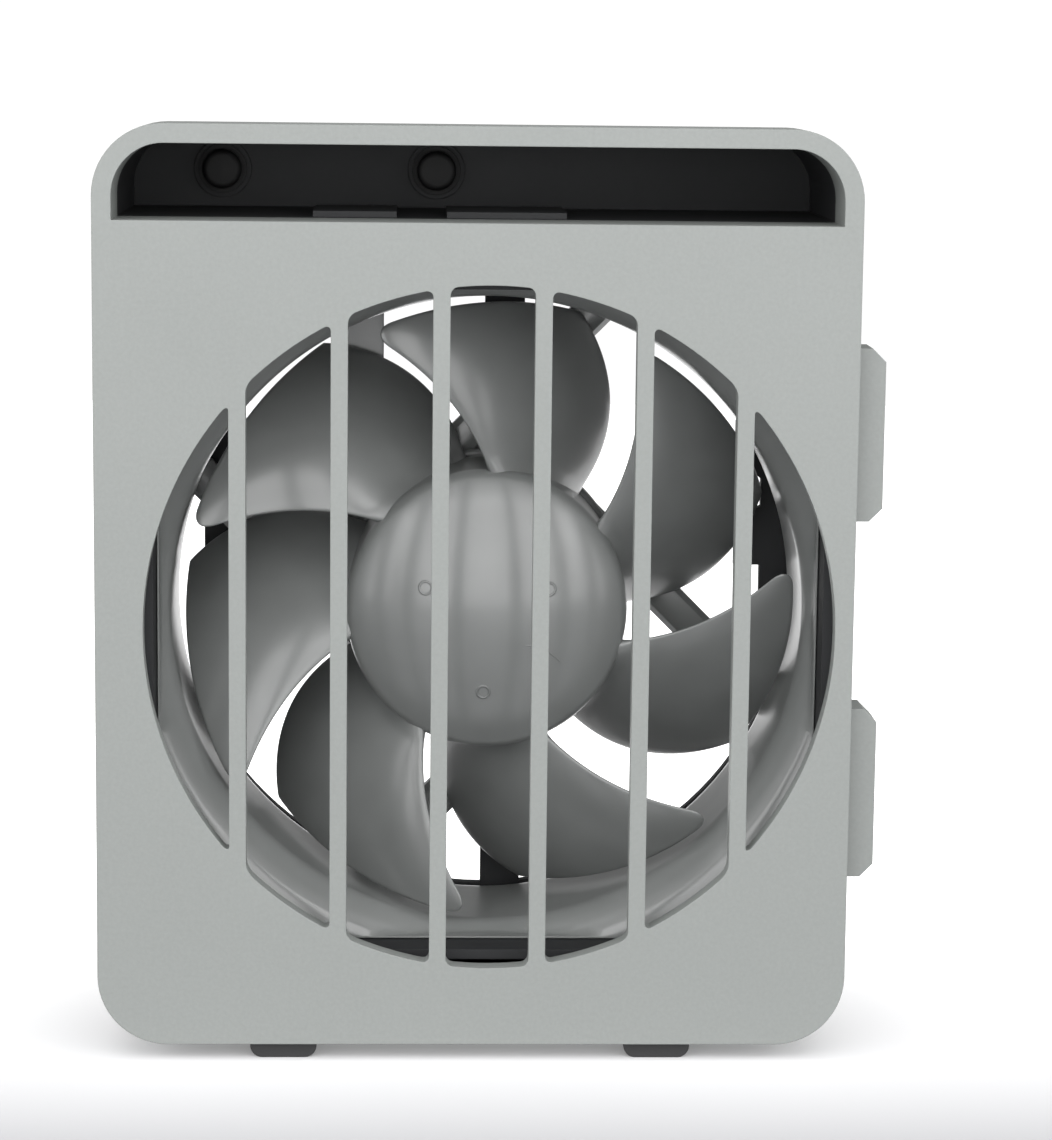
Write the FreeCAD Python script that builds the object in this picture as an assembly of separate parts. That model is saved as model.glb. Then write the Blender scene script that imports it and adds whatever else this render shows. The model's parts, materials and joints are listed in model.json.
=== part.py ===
"""Cooling-fan module: a 120 mm axial fan in a moulded two-part housing.

Millimetres, +Z up.  X runs to the right and Y runs back, seen from the intake side.
The origin lies on the floor, midway across and midway back.  Depths named *_back are
counted from the front face of the housing, and heights from the fan's own axis.
"""
import FreeCAD, Part
import math
import os

V = FreeCAD.Vector

# ---------------------------------------------------------------- driving dimensions
# axial fan, outside
fan_side = 120.0
fan_depth = 38.0
fan_front_back = 15.3
fan_corner = 6.0
duct_land = 2.0
duct_wall = 1.8
flare_length = 8.0
flare_front_over = 3.5
flare_rear_over = 0.6
flange_thickness = 4.2
hole_inset = 7.5
fan_hole_radius = 2.15
strut_width = 7.0
strut_depth = 4.5
strut_inset = 0.3
strut_round_share = 0.3
strut_turns = (-45, 45, 135, 225)
motor_base_over_hub = 1.0
motor_base_wall = 1.8
motor_base_floor = 2.5
motor_base_height = 5.1
lead_cover_width = 7.6
cap_rim = 3.0
cap_recess = 0.6
cap_thickness = 0.5
cap_gap = 0.1

# front shell
margin_left = 10.0
margin_right = 4.8
margin_below = 15.7
slot_floor_over_fan = 12.3
slot_opening = 13.4
slot_rim = 3.4
slot_floor_thickness = 2.2
shell_corner = 12.6
shell_depth = 14.0
face_thickness = 3.6
skirt_wall = 2.2
face_edge_round = 0.7
opening_over_fan = 1.5
bar_count = 6
bar_pitch = 17.93
bar_width = 3.0
tab_proud = 5.2
tab_height = 31.0
tab_front_back = 4.6
tab_rear_gap = 0.4
tab_centre_heights = (35.1, -30.0)
tab_chamfer = 2.4

# impeller
blade_count = 7
hub_radius = 26.0
hub_wall = 2.0
hub_nose_setback = 1.1
hub_shoulder_setback = 9.3
hub_base_gap = 2.6
hub_shoulder_round = 3.2
blade_tip_gap = 1.7
blade_root_setback = 9.6
blade_tip_setback = 1.7
blade_strut_gap = 2.5
blade_root_thickness = 2.3
blade_tip_thickness = 1.5
blade_edge_share = 0.38
blade_camber = 0.38
blade_corner_reach = 4.2
blade_corner_sweep = 5.0
# angles of the two edges in degrees: at the root, per millimetre, per square millimetre
lead_root_angle = 89.8
lead_sweep = 0.785
trail_root_angle = 47.5
trail_sweep = 0.24
trail_curve = 0.0184

# motor
shaft_radius = 2.0
bearing_radius = 6.5
bearing_length = 5.0
bearing_setback = 14.7
bearing_rear_gap = 8.3
inner_race_radius = 3.3
outer_race_radius = 5.2
ball_radius = 0.8
ball_count = 7
cage_width = 0.6
cage_length = 0.5
tube_wall = 1.5
tube_step = 0.9
tube_lip = 0.2
fit_gap = 0.05
press_allowance = 0.01
air_gap = 0.6
cup_wall = 1.0
cup_rim_recess = 0.6
boss_wall = 2.0
boss_flange = 3.4
boss_length = 2.2
boss_nose = 1.2
shaft_nose = 1.8
clip_gap = 0.3
clip_groove = 0.6
clip_groove_depth = 0.35
clip_proud = 1.2
clip_slot = 1.6
magnet_thickness = 2.4
magnet_setback = 13.7
magnet_recess = 1.6
stator_setback = 16.7
stator_board_gap = 2.1
pole_count = 4
yoke_thickness = 2.6
neck_width = 4.4
shoe_thickness = 1.8
shoe_slot = 2.4
insulator_thickness = 0.8
insulator_inset = 0.6
coil_width = 8.0
coil_overhang = 1.5
coil_gap = 0.2
board_rear_gap = 6.9
board_thickness = 1.4
board_inset = 0.4
chip_length = 5.0
chip_width = 5.0
chip_height = 1.6
capacitor_length = 3.5
capacitor_width = 3.2
capacitor_height = 2.2
capacitor_turn = 140.0
sensor_length = 2.4
sensor_width = 3.2
sensor_height = 1.2
sensor_inset = 0.5

# rear carrier
carrier_inset = 1.0
carrier_wall = 2.2
sleeve_clearance = 0.2
sleeve_wall = 1.8
sleeve_front_back = 8.0
exit_under_fan = 0.6
guard_width = 7.6
guard_centres = (-49.9, 3.7, 57.3)
gusset_reach = 5.0
# heights of each gusset's square end, shoulder and tip
gussets = ((4.0, 12.6, 15.5), (32.0, 25.5, 20.7))
pocket_boss_radius = 5.4
pocket_boss_length = 0.8
ledge_spans = ((-32.0, -17.0), (-8.0, 13.5))
ledge_setback = 3.0
ledge_length = 23.0
ledge_rise = 1.1
web_thickness = 2.0

# fixings
mount_screw_radius = 2.0
mount_screw_length = 12.0
mount_neck_radius = 1.7
mount_neck_past_wall = 0.4
mount_screw_centres = (-50.0, -9.6)
mount_screw_over_floor = 7.1
mount_head_radius = 3.7
mount_head_height = 2.6
flat_washer_radius = 4.6
flat_washer_thickness = 0.8
lock_washer_radius = 3.6
lock_washer_thickness = 1.0
washer_gap = 0.15
hole_clearance = 0.25
case_screw_radius = 1.5
case_screw_length = 12.0
case_head_radius = 2.8
case_head_height = 2.2
case_boss_radius = 3.4
case_boss_floor = 1.2
case_screw_half_span = 50.0
case_screw_grip = 6.0
fan_head_radius = 3.8
fan_head_height = 2.4
screw_hole_gap = 0.1
drive_width = 1.1
drive_reach_share = 0.62
drive_depth_share = 0.55
head_round_share = 0.45
pad_thickness = 1.5
pad_radius = 5.0
foot_drop = 3.0
foot_width = 12.0
foot_length = 10.0
foot_centres = (-36.7, 31.0)
foot_rear_inset = 4.0
foot_round = 2.2

# power socket
socket_centre = 29.0
socket_width = 18.0
socket_height = 7.5
socket_under_sleeve = 2.0
socket_depth = 8.0
socket_wall = 1.2
socket_gap = 0.05
socket_flange = 0.8
socket_flange_thickness = 1.5
socket_well = 5.0
contact_count = 3
contact_pitch = 4.5
contact_side = 1.0
contact_recess = 1.0

# how far a cutter runs past the face it cuts, and a joined piece into its neighbour
past = 1.0
sink = 0.5
square = 0.01

# ---------------------------------------------------------------- derived places
fan_half = fan_side / 2.0
fan_rear_back = fan_front_back + fan_depth
duct_radius = fan_half - duct_land
flare_radius_front = fan_half + flare_front_over
flare_radius_rear = fan_half + flare_rear_over
hole_half = fan_half - hole_inset
motor_base_radius = hub_radius + motor_base_over_hub
motor_base_front_back = fan_rear_back - motor_base_height
strut_front_back = fan_rear_back - strut_depth
strut_offset = motor_base_radius - strut_width / 2.0 - strut_inset
strut_end_radius = duct_radius + sink * 2

left_x = -fan_half - margin_left
right_x = fan_half + margin_right
bottom_h = -fan_half - margin_below
slot_floor_height = fan_half + slot_floor_over_fan
slot_top_h = slot_floor_height + slot_opening
top_h = slot_top_h + slot_rim
opening_radius = fan_half + opening_over_fan
tab_thickness = shell_depth - tab_rear_gap - tab_front_back

hub_nose_back = fan_front_back + hub_nose_setback
hub_shoulder_back = fan_front_back + hub_shoulder_setback
hub_rear_back = motor_base_front_back - hub_base_gap
blade_tip_radius = duct_radius - blade_tip_gap
blade_corner_start = blade_tip_radius - blade_corner_reach
blade_root_front = fan_front_back + blade_root_setback
blade_tip_front = fan_front_back + blade_tip_setback
blade_rear_back = strut_front_back - blade_strut_gap

bearing_front_back = fan_front_back + bearing_setback
bearing_rear_back = fan_rear_back - bearing_rear_gap
clip_back = bearing_rear_back + bearing_length + clip_gap
tube_radius = bearing_radius + tube_wall
tube_rear_back = bearing_rear_back + bearing_length + tube_lip
ball_circle = (inner_race_radius + outer_race_radius) / 2.0
cup_radius = hub_radius - hub_wall - fit_gap
cup_front_back = hub_shoulder_back + hub_wall
boss_rear_back = cup_front_back + boss_length
magnet_radius = cup_radius - cup_wall - fit_gap
magnet_bore = magnet_radius - magnet_thickness
magnet_front_back = fan_front_back + magnet_setback
magnet_rear_back = hub_rear_back - magnet_recess
stator_radius = magnet_bore - air_gap
stator_bore = tube_radius + fit_gap
yoke_radius = stator_bore + yoke_thickness
board_back = fan_rear_back - board_rear_gap
board_rear_back = board_back + board_thickness
board_radius = stator_radius - board_inset
stator_front_back = fan_front_back + stator_setback
stator_rear_back = board_back - stator_board_gap - coil_overhang - insulator_thickness

rear_wall_front_back = fan_rear_back + pad_thickness
carrier_rear_back = rear_wall_front_back + carrier_wall
sleeve_inner = fan_half + sleeve_clearance
sleeve_outer = sleeve_inner + sleeve_wall
exit_radius = fan_half - exit_under_fan
case_screw_upper = (sleeve_outer + slot_floor_height - slot_floor_thickness) / 2.0
case_screw_lower = (bottom_h + carrier_inset + carrier_wall - sleeve_outer) / 2.0
socket_high = -sleeve_outer - socket_under_sleeve
socket_low = socket_high - socket_height

mount_screw_height = slot_floor_height + mount_screw_over_floor
boss_face_back = rear_wall_front_back - pocket_boss_length
head_face_back = boss_face_back - flat_washer_thickness - lock_washer_thickness
thread_start_back = carrier_rear_back + mount_neck_past_wall
thread_end_back = head_face_back + mount_screw_length
foot_front_back = (shell_depth - foot_length) / 2.0
foot_rear_back = carrier_rear_back - foot_rear_inset - foot_length
front_y = -thread_end_back / 2.0
axis_z = foot_drop - bottom_h


# ---------------------------------------------------------------- small helpers
def place(x, back, height):
    """Point from sideways place, depth behind the front face and height over the axis."""
    return V(x, front_y + back, axis_z + height)


def block(x0, x1, back0, back1, h0, h1):
    """Box between two depths."""
    return Part.makeBox(x1 - x0, back1 - back0, h1 - h0, place(x0, back0, h0))


def rod(radius, back0, back1, x=0.0, height=0.0):
    """Cylinder along Y."""
    return Part.makeCylinder(radius, back1 - back0, place(x, back0, height), V(0, 1, 0))


def ring(outer, inner, back0, back1, x=0.0, height=0.0):
    """Plain ring along Y."""
    bore = rod(inner, back0 - past, back1 + past, x, height)
    return rod(outer, back0, back1, x, height).cut(bore)


def rounded_outline(x0, x1, h0, h1, lower, upper, back):
    """Wire of a rectangle with its own radius at the lower and at the upper corners."""
    corners = ((x0, h0, lower, 180), (x1, h0, lower, 270), (x1, h1, upper, 0), (x0, h1, upper, 90))
    points = []
    edges = []
    for x, h, radius, start in corners:
        cx = x + radius if x == x0 else x - radius
        ch = h + radius if h == h0 else h - radius
        arc = []
        for turn in (0, 45, 90):
            angle = math.radians(start + turn)
            arc.append(place(cx + radius * math.cos(angle), back, ch + radius * math.sin(angle)))
        points.append(arc)
    for index, arc in enumerate(points):
        following = points[(index + 1) % 4]
        if (arc[2] - arc[0]).Length > 1e-6:
            edges.append(Part.Arc(arc[0], arc[1], arc[2]).toShape())
        edges.append(Part.makeLine(arc[2], following[0]))
    return Part.Wire(edges)


def rounded_block(x0, x1, back0, back1, h0, h1, lower, upper):
    """Prism along Y with rounded upright corners."""
    face = Part.Face(rounded_outline(x0, x1, h0, h1, lower, upper, back0))
    return face.extrude(V(0, back1 - back0, 0))


def turned(profile):
    """Solid turned about the fan axis from (radius, depth) points joined by straight lines."""
    points = [place(radius, back, 0) for radius, back in profile]
    points.append(points[0])
    face = Part.Face(Part.makePolygon(points))
    return face.revolve(place(0, 0, 0), V(0, 1, 0), 360)


def spin(shape, degrees):
    """Copy turned about the fan axis, anticlockwise seen from the front."""
    copy = shape.copy()
    copy.rotate(place(0, 0, 0), V(0, -1, 0), degrees)
    return copy


def save(node, shapes):
    """Write one node; a list becomes a group of separate solids."""
    shape = Part.makeCompound(shapes) if isinstance(shapes, list) else shapes
    shape.exportStep("parts/" + node + ".step")
    solids = shape.Solids
    print(node, len(solids), "solids", round(shape.Volume, 1), "mm3", shape.isValid())


# ---------------------------------------------------------------- places that pieces share
def fan_hole_places():
    """The fan's four corner holes."""
    return [(x, h) for x in (-hole_half, hole_half) for h in (-hole_half, hole_half)]


def case_screw_places():
    """The four screws that hold the shell to the carrier."""
    places = []
    for x in (-case_screw_half_span, case_screw_half_span):
        places.append((x, case_screw_lower))
        places.append((x, case_screw_upper))
    return places


def socket_block(margin, back0, back1):
    """Block of the power socket, grown by a margin."""
    half = socket_width / 2 + margin
    return block(socket_centre - half, socket_centre + half, back0, back1, socket_low - margin,
                 socket_high + margin)


# ---------------------------------------------------------------- front shell
def slot_cutter(back0, back1):
    """Finger slot: square lower corners, upper corners concentric with the shell's."""
    return rounded_block(left_x + slot_rim, right_x - slot_rim, back0, back1,
                         slot_floor_height, slot_top_h, square, shell_corner - slot_rim)


def hook_tab(height):
    """Side hook: a chamfered lug on the right flank of the shell."""
    half = tab_height / 2.0
    out_x = right_x + tab_proud
    profile = [place(right_x - skirt_wall, tab_front_back, height - half),
               place(out_x - tab_chamfer, tab_front_back, height - half),
               place(out_x, tab_front_back, height - half + tab_chamfer),
               place(out_x, tab_front_back, height + half - tab_chamfer),
               place(out_x - tab_chamfer, tab_front_back, height + half),
               place(right_x - skirt_wall, tab_front_back, height + half)]
    profile.append(profile[0])
    return Part.Face(Part.makePolygon(profile)).extrude(V(0, tab_thickness, 0))


def opening_cutters():
    """The round opening less its upright bars."""
    disc = rod(opening_radius, -past, face_thickness + past)
    bars = []
    first = -bar_pitch * (bar_count - 1) / 2.0
    for index in range(bar_count):
        centre = first + index * bar_pitch
        bars.append(block(centre - bar_width / 2.0, centre + bar_width / 2.0, -2 * past,
                          face_thickness + 2 * past, -opening_radius - past, opening_radius + past))
    return disc.cut(bars)


def make_front_shell():
    """Face, skirt, bars, hooks and screw bosses, moulded as one."""
    body = rounded_block(left_x, right_x, 0, shell_depth, bottom_h, top_h, shell_corner, shell_corner)
    rim = [edge for edge in body.Edges if abs(edge.CenterOfMass.y - front_y) < 1e-6]
    body = body.makeFillet(face_edge_round, rim)
    cavity_top = slot_floor_height - slot_floor_thickness
    cavity = rounded_block(left_x + skirt_wall, right_x - skirt_wall, face_thickness, shell_depth + past,
                           bottom_h + skirt_wall, cavity_top, shell_corner - skirt_wall, square)
    shell = body.cut([cavity, slot_cutter(-past, shell_depth + past)])
    additions = [hook_tab(height) for height in tab_centre_heights]
    for x, height in case_screw_places():
        additions.append(rod(case_boss_radius, face_thickness - sink, shell_depth, x, height))
    shell = shell.fuse(additions)
    cutters = [opening_cutters()]
    for x, height in case_screw_places():
        cutters.append(rod(case_screw_radius, face_thickness + case_boss_floor, shell_depth + past,
                           x, height))
    return shell.cut(cutters).removeSplitter()


# ---------------------------------------------------------------- rear carrier
def guard_bars():
    """Upright bars across the exhaust, and the two gussets on the last of them."""
    bars = []
    for centre in guard_centres:
        bars.append(block(centre - guard_width / 2.0, centre + guard_width / 2.0, rear_wall_front_back,
                          carrier_rear_back, -fan_half, fan_half))
    edge = guard_centres[-1] - guard_width / 2.0
    for square_end, shoulder, tip in gussets:
        outline = ((edge + sink, tip), (edge, tip), (edge - gusset_reach, shoulder),
                   (edge - gusset_reach, square_end), (edge + sink, square_end))
        points = [place(x, rear_wall_front_back, height) for x, height in outline]
        points.append(points[0])
        bars.append(Part.Face(Part.makePolygon(points)).extrude(V(0, carrier_wall, 0)))
    return bars


def carrier_box():
    """Open-fronted box with the finger slot's floor and the fan's square sleeve."""
    x0 = left_x + carrier_inset
    x1 = right_x - carrier_inset
    h0 = bottom_h + carrier_inset
    h1 = top_h - carrier_inset
    corner = shell_corner - carrier_inset
    inner_corner = corner - carrier_wall
    outer = rounded_block(x0, x1, shell_depth, carrier_rear_back, h0, h1, corner, corner)
    hollow = rounded_block(x0 + carrier_wall, x1 - carrier_wall, shell_depth - past, rear_wall_front_back,
                           h0 + carrier_wall, h1 - carrier_wall, inner_corner, inner_corner)
    floor = block(x0 + carrier_wall / 2, x1 - carrier_wall / 2, shell_depth, rear_wall_front_back + sink,
                  slot_floor_height - slot_floor_thickness, slot_floor_height)
    sleeve = rounded_block(-sleeve_outer, sleeve_outer, sleeve_front_back, rear_wall_front_back + sink,
                           -sleeve_outer, sleeve_outer, fan_corner, fan_corner)
    return outer.cut(hollow).fuse([floor, sleeve])


def carrier_bosses():
    """Screw bosses with their webs, the pocket's two seats and the ledges on its floor."""
    grip_end = shell_depth + case_screw_grip
    additions = []
    for x, height in case_screw_places():
        additions.append(rod(case_boss_radius, shell_depth, grip_end, x, height))
        wall = sleeve_outer - sink if height > 0 else bottom_h + carrier_inset + sink
        low, high = sorted((wall, height))
        additions.append(block(x - web_thickness / 2, x + web_thickness / 2, shell_depth, grip_end,
                               low, high))
    for x in mount_screw_centres:
        additions.append(rod(pocket_boss_radius, boss_face_back, rear_wall_front_back + sink, x,
                             mount_screw_height))
    ledge_front = shell_depth + ledge_setback
    for x0, x1 in ledge_spans:
        additions.append(block(x0, x1, ledge_front, ledge_front + ledge_length,
                               slot_floor_height - sink, slot_floor_height + ledge_rise))
    return additions


def make_rear_carrier():
    """Black box behind the shell: fan sleeve, handle pocket, exhaust guard and screw bosses."""
    carrier = carrier_box().fuse(carrier_bosses())
    wall_front = rear_wall_front_back - past
    wall_rear = carrier_rear_back + past
    cutters = [rounded_block(-sleeve_inner, sleeve_inner, sleeve_front_back - past, rear_wall_front_back,
                             -sleeve_inner, sleeve_inner, fan_corner, fan_corner),
               rod(exit_radius, wall_front, wall_rear).cut(guard_bars()),
               socket_block(0.0, wall_front, wall_rear)]
    for x, height in case_screw_places():
        cutters.append(rod(case_screw_radius + hole_clearance, shell_depth - past,
                           shell_depth + case_screw_grip + past, x, height))
        cutters.append(rod(case_boss_radius, wall_front, wall_rear, x, height))
    for x in mount_screw_centres:
        cutters.append(rod(mount_screw_radius + hole_clearance, boss_face_back - past, wall_rear,
                           x, mount_screw_height))
    for x, height in fan_hole_places():
        cutters.append(rod(fan_hole_radius, wall_front, wall_rear, x, height))
    return carrier.cut(cutters).removeSplitter()


# ---------------------------------------------------------------- fan frame
def flare_radius(mouth_radius, share):
    """Duct radius at a share of the way from a flare's throat to its mouth."""
    return duct_radius + (mouth_radius - duct_radius) * share ** 2


def duct_profile():
    """Half section of the air duct: front flare, straight throat, rear flare."""
    steps = 6
    points = [(0.0, fan_front_back - past), (flare_radius_front, fan_front_back - past)]
    for step in range(steps + 1):
        share = step / steps
        points.append((flare_radius(flare_radius_front, 1 - share), fan_front_back + share * flare_length))
    for step in range(steps + 1):
        share = step / steps
        points.append((flare_radius(flare_radius_rear, share), fan_rear_back - (1 - share) * flare_length))
    points.append((flare_radius_rear, fan_rear_back + past))
    points.append((0.0, fan_rear_back + past))
    return points


def strut(turn):
    """One of four straight struts, tangent to the motor base, with its front edges rounded."""
    reach = math.sqrt(strut_end_radius ** 2 - strut_offset ** 2)
    half = strut_width / 2.0
    bar = block(-half, reach, strut_front_back, fan_rear_back, strut_offset - half, strut_offset + half)
    front = front_y + strut_front_back
    long_edges = [edge for edge in bar.Edges if edge.Length > strut_width * 2]
    edges = [edge for edge in long_edges if abs(edge.CenterOfMass.y - front) < 1e-6]
    return spin(bar.makeFillet(strut_width * strut_round_share, edges), turn)


def lead_cover():
    """Straight cover over the motor's lead, from the base to the upper wall."""
    centre = -strut_offset
    base_chord = math.sqrt(motor_base_radius ** 2 - strut_offset ** 2)
    return block(centre - lead_cover_width / 2.0, centre + lead_cover_width / 2.0, strut_front_back,
                 fan_rear_back, base_chord - motor_base_wall, math.sqrt(strut_end_radius ** 2 - centre ** 2))


def make_fan_frame():
    """Square flanged frame with its barrel, struts and motor base."""
    half = fan_half
    plate = rounded_block(-half, half, fan_front_back, fan_rear_back, -half, half, fan_corner, fan_corner)
    barrel = rod(duct_radius + duct_wall, fan_front_back, fan_rear_back)
    waist = block(-half - past, half + past, fan_front_back + flange_thickness,
                  fan_rear_back - flange_thickness, -half - past, half + past)
    body = plate.cut(waist.cut(barrel)).cut(turned(duct_profile()))
    pieces = [strut(turn) for turn in strut_turns]
    pieces.append(rod(motor_base_radius, motor_base_front_back, fan_rear_back))
    pieces.append(lead_cover())
    frame = body.fuse(pieces)
    cutters = [rod(motor_base_radius - motor_base_wall, motor_base_front_back - past,
                   fan_rear_back - motor_base_floor),
               rod(tube_radius + fit_gap, motor_base_front_back - past, fan_rear_back + past),
               rod(motor_base_radius - cap_rim, fan_rear_back - cap_recess, fan_rear_back + past)]
    for x, height in fan_hole_places():
        cutters.append(rod(fan_hole_radius, fan_front_back - past, fan_rear_back + past, x, height))
    return frame.cut(cutters).removeSplitter()


def make_base_cap():
    """Blank round cap over the rear of the motor base."""
    front = fan_rear_back - cap_recess
    return rod(motor_base_radius - cap_rim - cap_gap, front, front + cap_thickness)


# ---------------------------------------------------------------- impeller
def blade_lead(radius):
    """Angle of the leading edge before its corner is rounded, in degrees."""
    return lead_root_angle + lead_sweep * (radius - hub_radius)


def blade_trail(radius):
    """Angle of the trailing edge, in degrees."""
    reach = radius - hub_radius
    return trail_root_angle + trail_sweep * reach + trail_curve * reach ** 2


def blade_middle(radius, chord):
    """Point of the blade's middle surface; the chord share runs from leading to trailing edge."""
    angle = math.radians(blade_lead(radius) * (1 - chord) + blade_trail(radius) * chord)
    lean = (radius - hub_radius) / (blade_tip_radius - hub_radius)
    front = blade_root_front + (blade_tip_front - blade_root_front) * lean
    sunk = (1 - blade_camber) * chord + blade_camber * chord ** 2
    return place(radius * math.cos(angle), front + (blade_rear_back - front) * sunk, radius * math.sin(angle))


def blade_skin(side):
    """Surface through a grid of points offset to one side of the middle surface."""
    rows = 7
    columns = 5
    root = hub_radius - hub_wall / 2.0
    step = 0.01
    grid = []
    for row in range(rows):
        line = []
        share = row / (rows - 1)
        radius = root + (blade_tip_radius - root) * share
        full = blade_root_thickness + (blade_tip_thickness - blade_root_thickness) * share
        for column in range(columns):
            chord = column / (columns - 1)
            along = blade_middle(radius, chord + step) - blade_middle(radius, chord - step)
            out = blade_middle(radius + step, chord) - blade_middle(radius - step, chord)
            normal = along.cross(out)
            normal.normalize()
            thickness = full * (blade_edge_share + (1 - blade_edge_share) * 4 * chord * (1 - chord))
            line.append(blade_middle(radius, chord) + normal * (side * thickness / 2.0))
        grid.append(line)
    surface = Part.BSplineSurface()
    surface.interpolate(grid)
    return surface


def corner_cutter():
    """Prism along Y over what the rounded tip corner leaves of the leading edge's corner."""
    steps = 8
    back = blade_tip_front - 2 * past
    points = []
    for step in range(steps + 1):
        late = math.sin(step / steps * math.pi / 2)
        radius = blade_corner_start + blade_corner_reach * late
        swept = blade_corner_sweep * (1 - math.sqrt(max(0.0, 1 - late ** 2)))
        angle = math.radians(blade_lead(radius) - swept)
        points.append(place(radius * math.cos(angle), back, radius * math.sin(angle)))
    curve = Part.BSplineCurve()
    curve.interpolate(points)
    far = blade_tip_radius + 4 * past
    beyond = ((far, blade_lead(far) - 2 * blade_corner_sweep), (far, blade_lead(far) + blade_corner_sweep),
              (blade_corner_start, blade_lead(blade_corner_start) + blade_corner_sweep))
    outside = []
    for radius, degrees in beyond:
        angle = math.radians(degrees)
        outside.append(place(radius * math.cos(angle), back, radius * math.sin(angle)))
    loop = Part.makePolygon([points[-1]] + outside + [points[0]])
    outline = Part.Wire([curve.toShape()] + loop.Edges)
    return Part.Face(outline).extrude(V(0, blade_rear_back - blade_tip_front, 0))


def make_blade():
    """Closed blade from two skins and the four strips between their edges."""
    skins = [blade_skin(1), blade_skin(-1)]
    faces = [skin.toShape() for skin in skins]
    borders = []
    for skin in skins:
        u0, u1, v0, v1 = skin.bounds()
        borders.append([skin.uIso(u0), skin.uIso(u1), skin.vIso(v0), skin.vIso(v1)])
    for first, second in zip(borders[0], borders[1]):
        faces.append(Part.makeRuledSurface(first.toShape(), second.toShape()))
    shell = Part.Compound(faces)
    shell.sewShape(1e-3)
    solid = Part.Solid(shell.Shells[0])
    if solid.Volume < 0:
        solid.reverse()
    return solid.cut(corner_cutter())


def hub_section(inset):
    """Outline of the hub: a spherical nose rounded into a straight side."""
    rise = hub_shoulder_back - hub_nose_back
    dome = (hub_radius ** 2 + rise ** 2) / (2 * rise)
    centre_back = hub_nose_back + dome
    radius = dome - inset
    # the shoulder arc touches the dome from inside and the straight side
    arc_radius = hub_shoulder_round - inset
    reach = radius - arc_radius
    arc_x = hub_radius - inset - arc_radius
    arc_back = centre_back - math.sqrt(reach ** 2 - arc_x ** 2)
    meet = math.atan2(arc_x, centre_back - arc_back)
    dome_steps = 14
    arc_steps = 6
    points = []
    for step in range(dome_steps + 1):
        angle = meet * step / dome_steps
        points.append((radius * math.sin(angle), centre_back - radius * math.cos(angle)))
    for step in range(1, arc_steps + 1):
        angle = meet + (math.pi / 2 - meet) * step / arc_steps
        points.append((arc_x + arc_radius * math.sin(angle), arc_back - arc_radius * math.cos(angle)))
    return points


def spun_outline(points, rear_back):
    """Solid turned from a smooth nose curve, closed at a flat rear."""
    nose = Part.BSplineCurve()
    nose.interpolate([place(radius, back, 0) for radius, back in points])
    last_radius = points[-1][0]
    edges = [nose.toShape(),
             Part.makeLine(place(last_radius, points[-1][1], 0), place(last_radius, rear_back, 0)),
             Part.makeLine(place(last_radius, rear_back, 0), place(0, rear_back, 0)),
             Part.makeLine(place(0, rear_back, 0), place(0, points[0][1], 0))]
    return Part.Face(Part.Wire(edges)).revolve(place(0, 0, 0), V(0, 1, 0), 360)


def make_impeller():
    """Hub with seven swept blades, moulded as one."""
    outer = spun_outline(hub_section(0.0), hub_rear_back)
    inner = spun_outline(hub_section(hub_wall), hub_rear_back + past)
    keep_out = rod(hub_radius - hub_wall, cup_front_back, hub_rear_back + past)
    blade = make_blade().cut(keep_out)
    blades = [spin(blade, 360.0 * index / blade_count) for index in range(blade_count)]
    return outer.cut(inner).fuse(blades)


# ---------------------------------------------------------------- motor
def make_rotor_cup():
    """Drawn steel cup that carries the magnet."""
    front = cup_front_back + fit_gap
    cup = rod(cup_radius, front, hub_rear_back - cup_rim_recess)
    cup = cup.cut(rod(cup_radius - cup_wall, front + cup_wall, hub_rear_back + past))
    return cup.cut(rod(shaft_radius + boss_wall, cup_front_back - past, hub_rear_back))


def make_shaft_boss():
    """Brass boss that joins the cup to the shaft."""
    boss = ring(shaft_radius + boss_wall - fit_gap, shaft_radius, cup_front_back - boss_nose, boss_rear_back)
    flange_front = cup_front_back + fit_gap + cup_wall
    flange = ring(shaft_radius + boss_flange, shaft_radius, flange_front, boss_rear_back)
    return boss.fuse(flange).removeSplitter()


def make_shaft():
    """Ground shaft with a clip groove near its rear end."""
    shaft = rod(shaft_radius, cup_front_back - shaft_nose, clip_back + shaft_nose)
    return shaft.cut(ring(shaft_radius + past, shaft_radius - clip_groove_depth, clip_back,
                          clip_back + clip_groove))


def make_clip():
    """Slotted retaining clip in the shaft groove."""
    clip = ring(shaft_radius + clip_proud, shaft_radius - clip_groove_depth, clip_back + fit_gap,
                clip_back + clip_groove - fit_gap)
    return clip.cut(block(-clip_slot / 2, clip_slot / 2, clip_back - past, clip_back + clip_groove + past,
                          0, shaft_radius + clip_proud + past))


def outer_ring(back):
    """Outer race of a ball bearing."""
    return ring(bearing_radius - press_allowance, outer_race_radius, back, back + bearing_length)


def inner_ring(back):
    """Inner race of a ball bearing."""
    return ring(inner_race_radius, shaft_radius, back, back + bearing_length)


def ball_set(back):
    """Balls, and the crown cage's ring just behind them."""
    middle = back + bearing_length / 2.0
    cage_front = middle + ball_radius + fit_gap
    pieces = [ring(ball_circle + cage_width / 2, ball_circle - cage_width / 2, cage_front,
                   cage_front + cage_length)]
    for index in range(ball_count):
        angle = 2 * math.pi * index / ball_count
        centre = place(ball_circle * math.cos(angle), middle, ball_circle * math.sin(angle))
        pieces.append(Part.makeSphere(ball_radius, centre, V(0, 1, 0)))
    return pieces


def make_preload_spring():
    """Flat spring washer between the boss and the front inner race."""
    return ring(inner_race_radius - 4 * fit_gap, shaft_radius + fit_gap, boss_rear_back + fit_gap,
                bearing_front_back - fit_gap)


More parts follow.
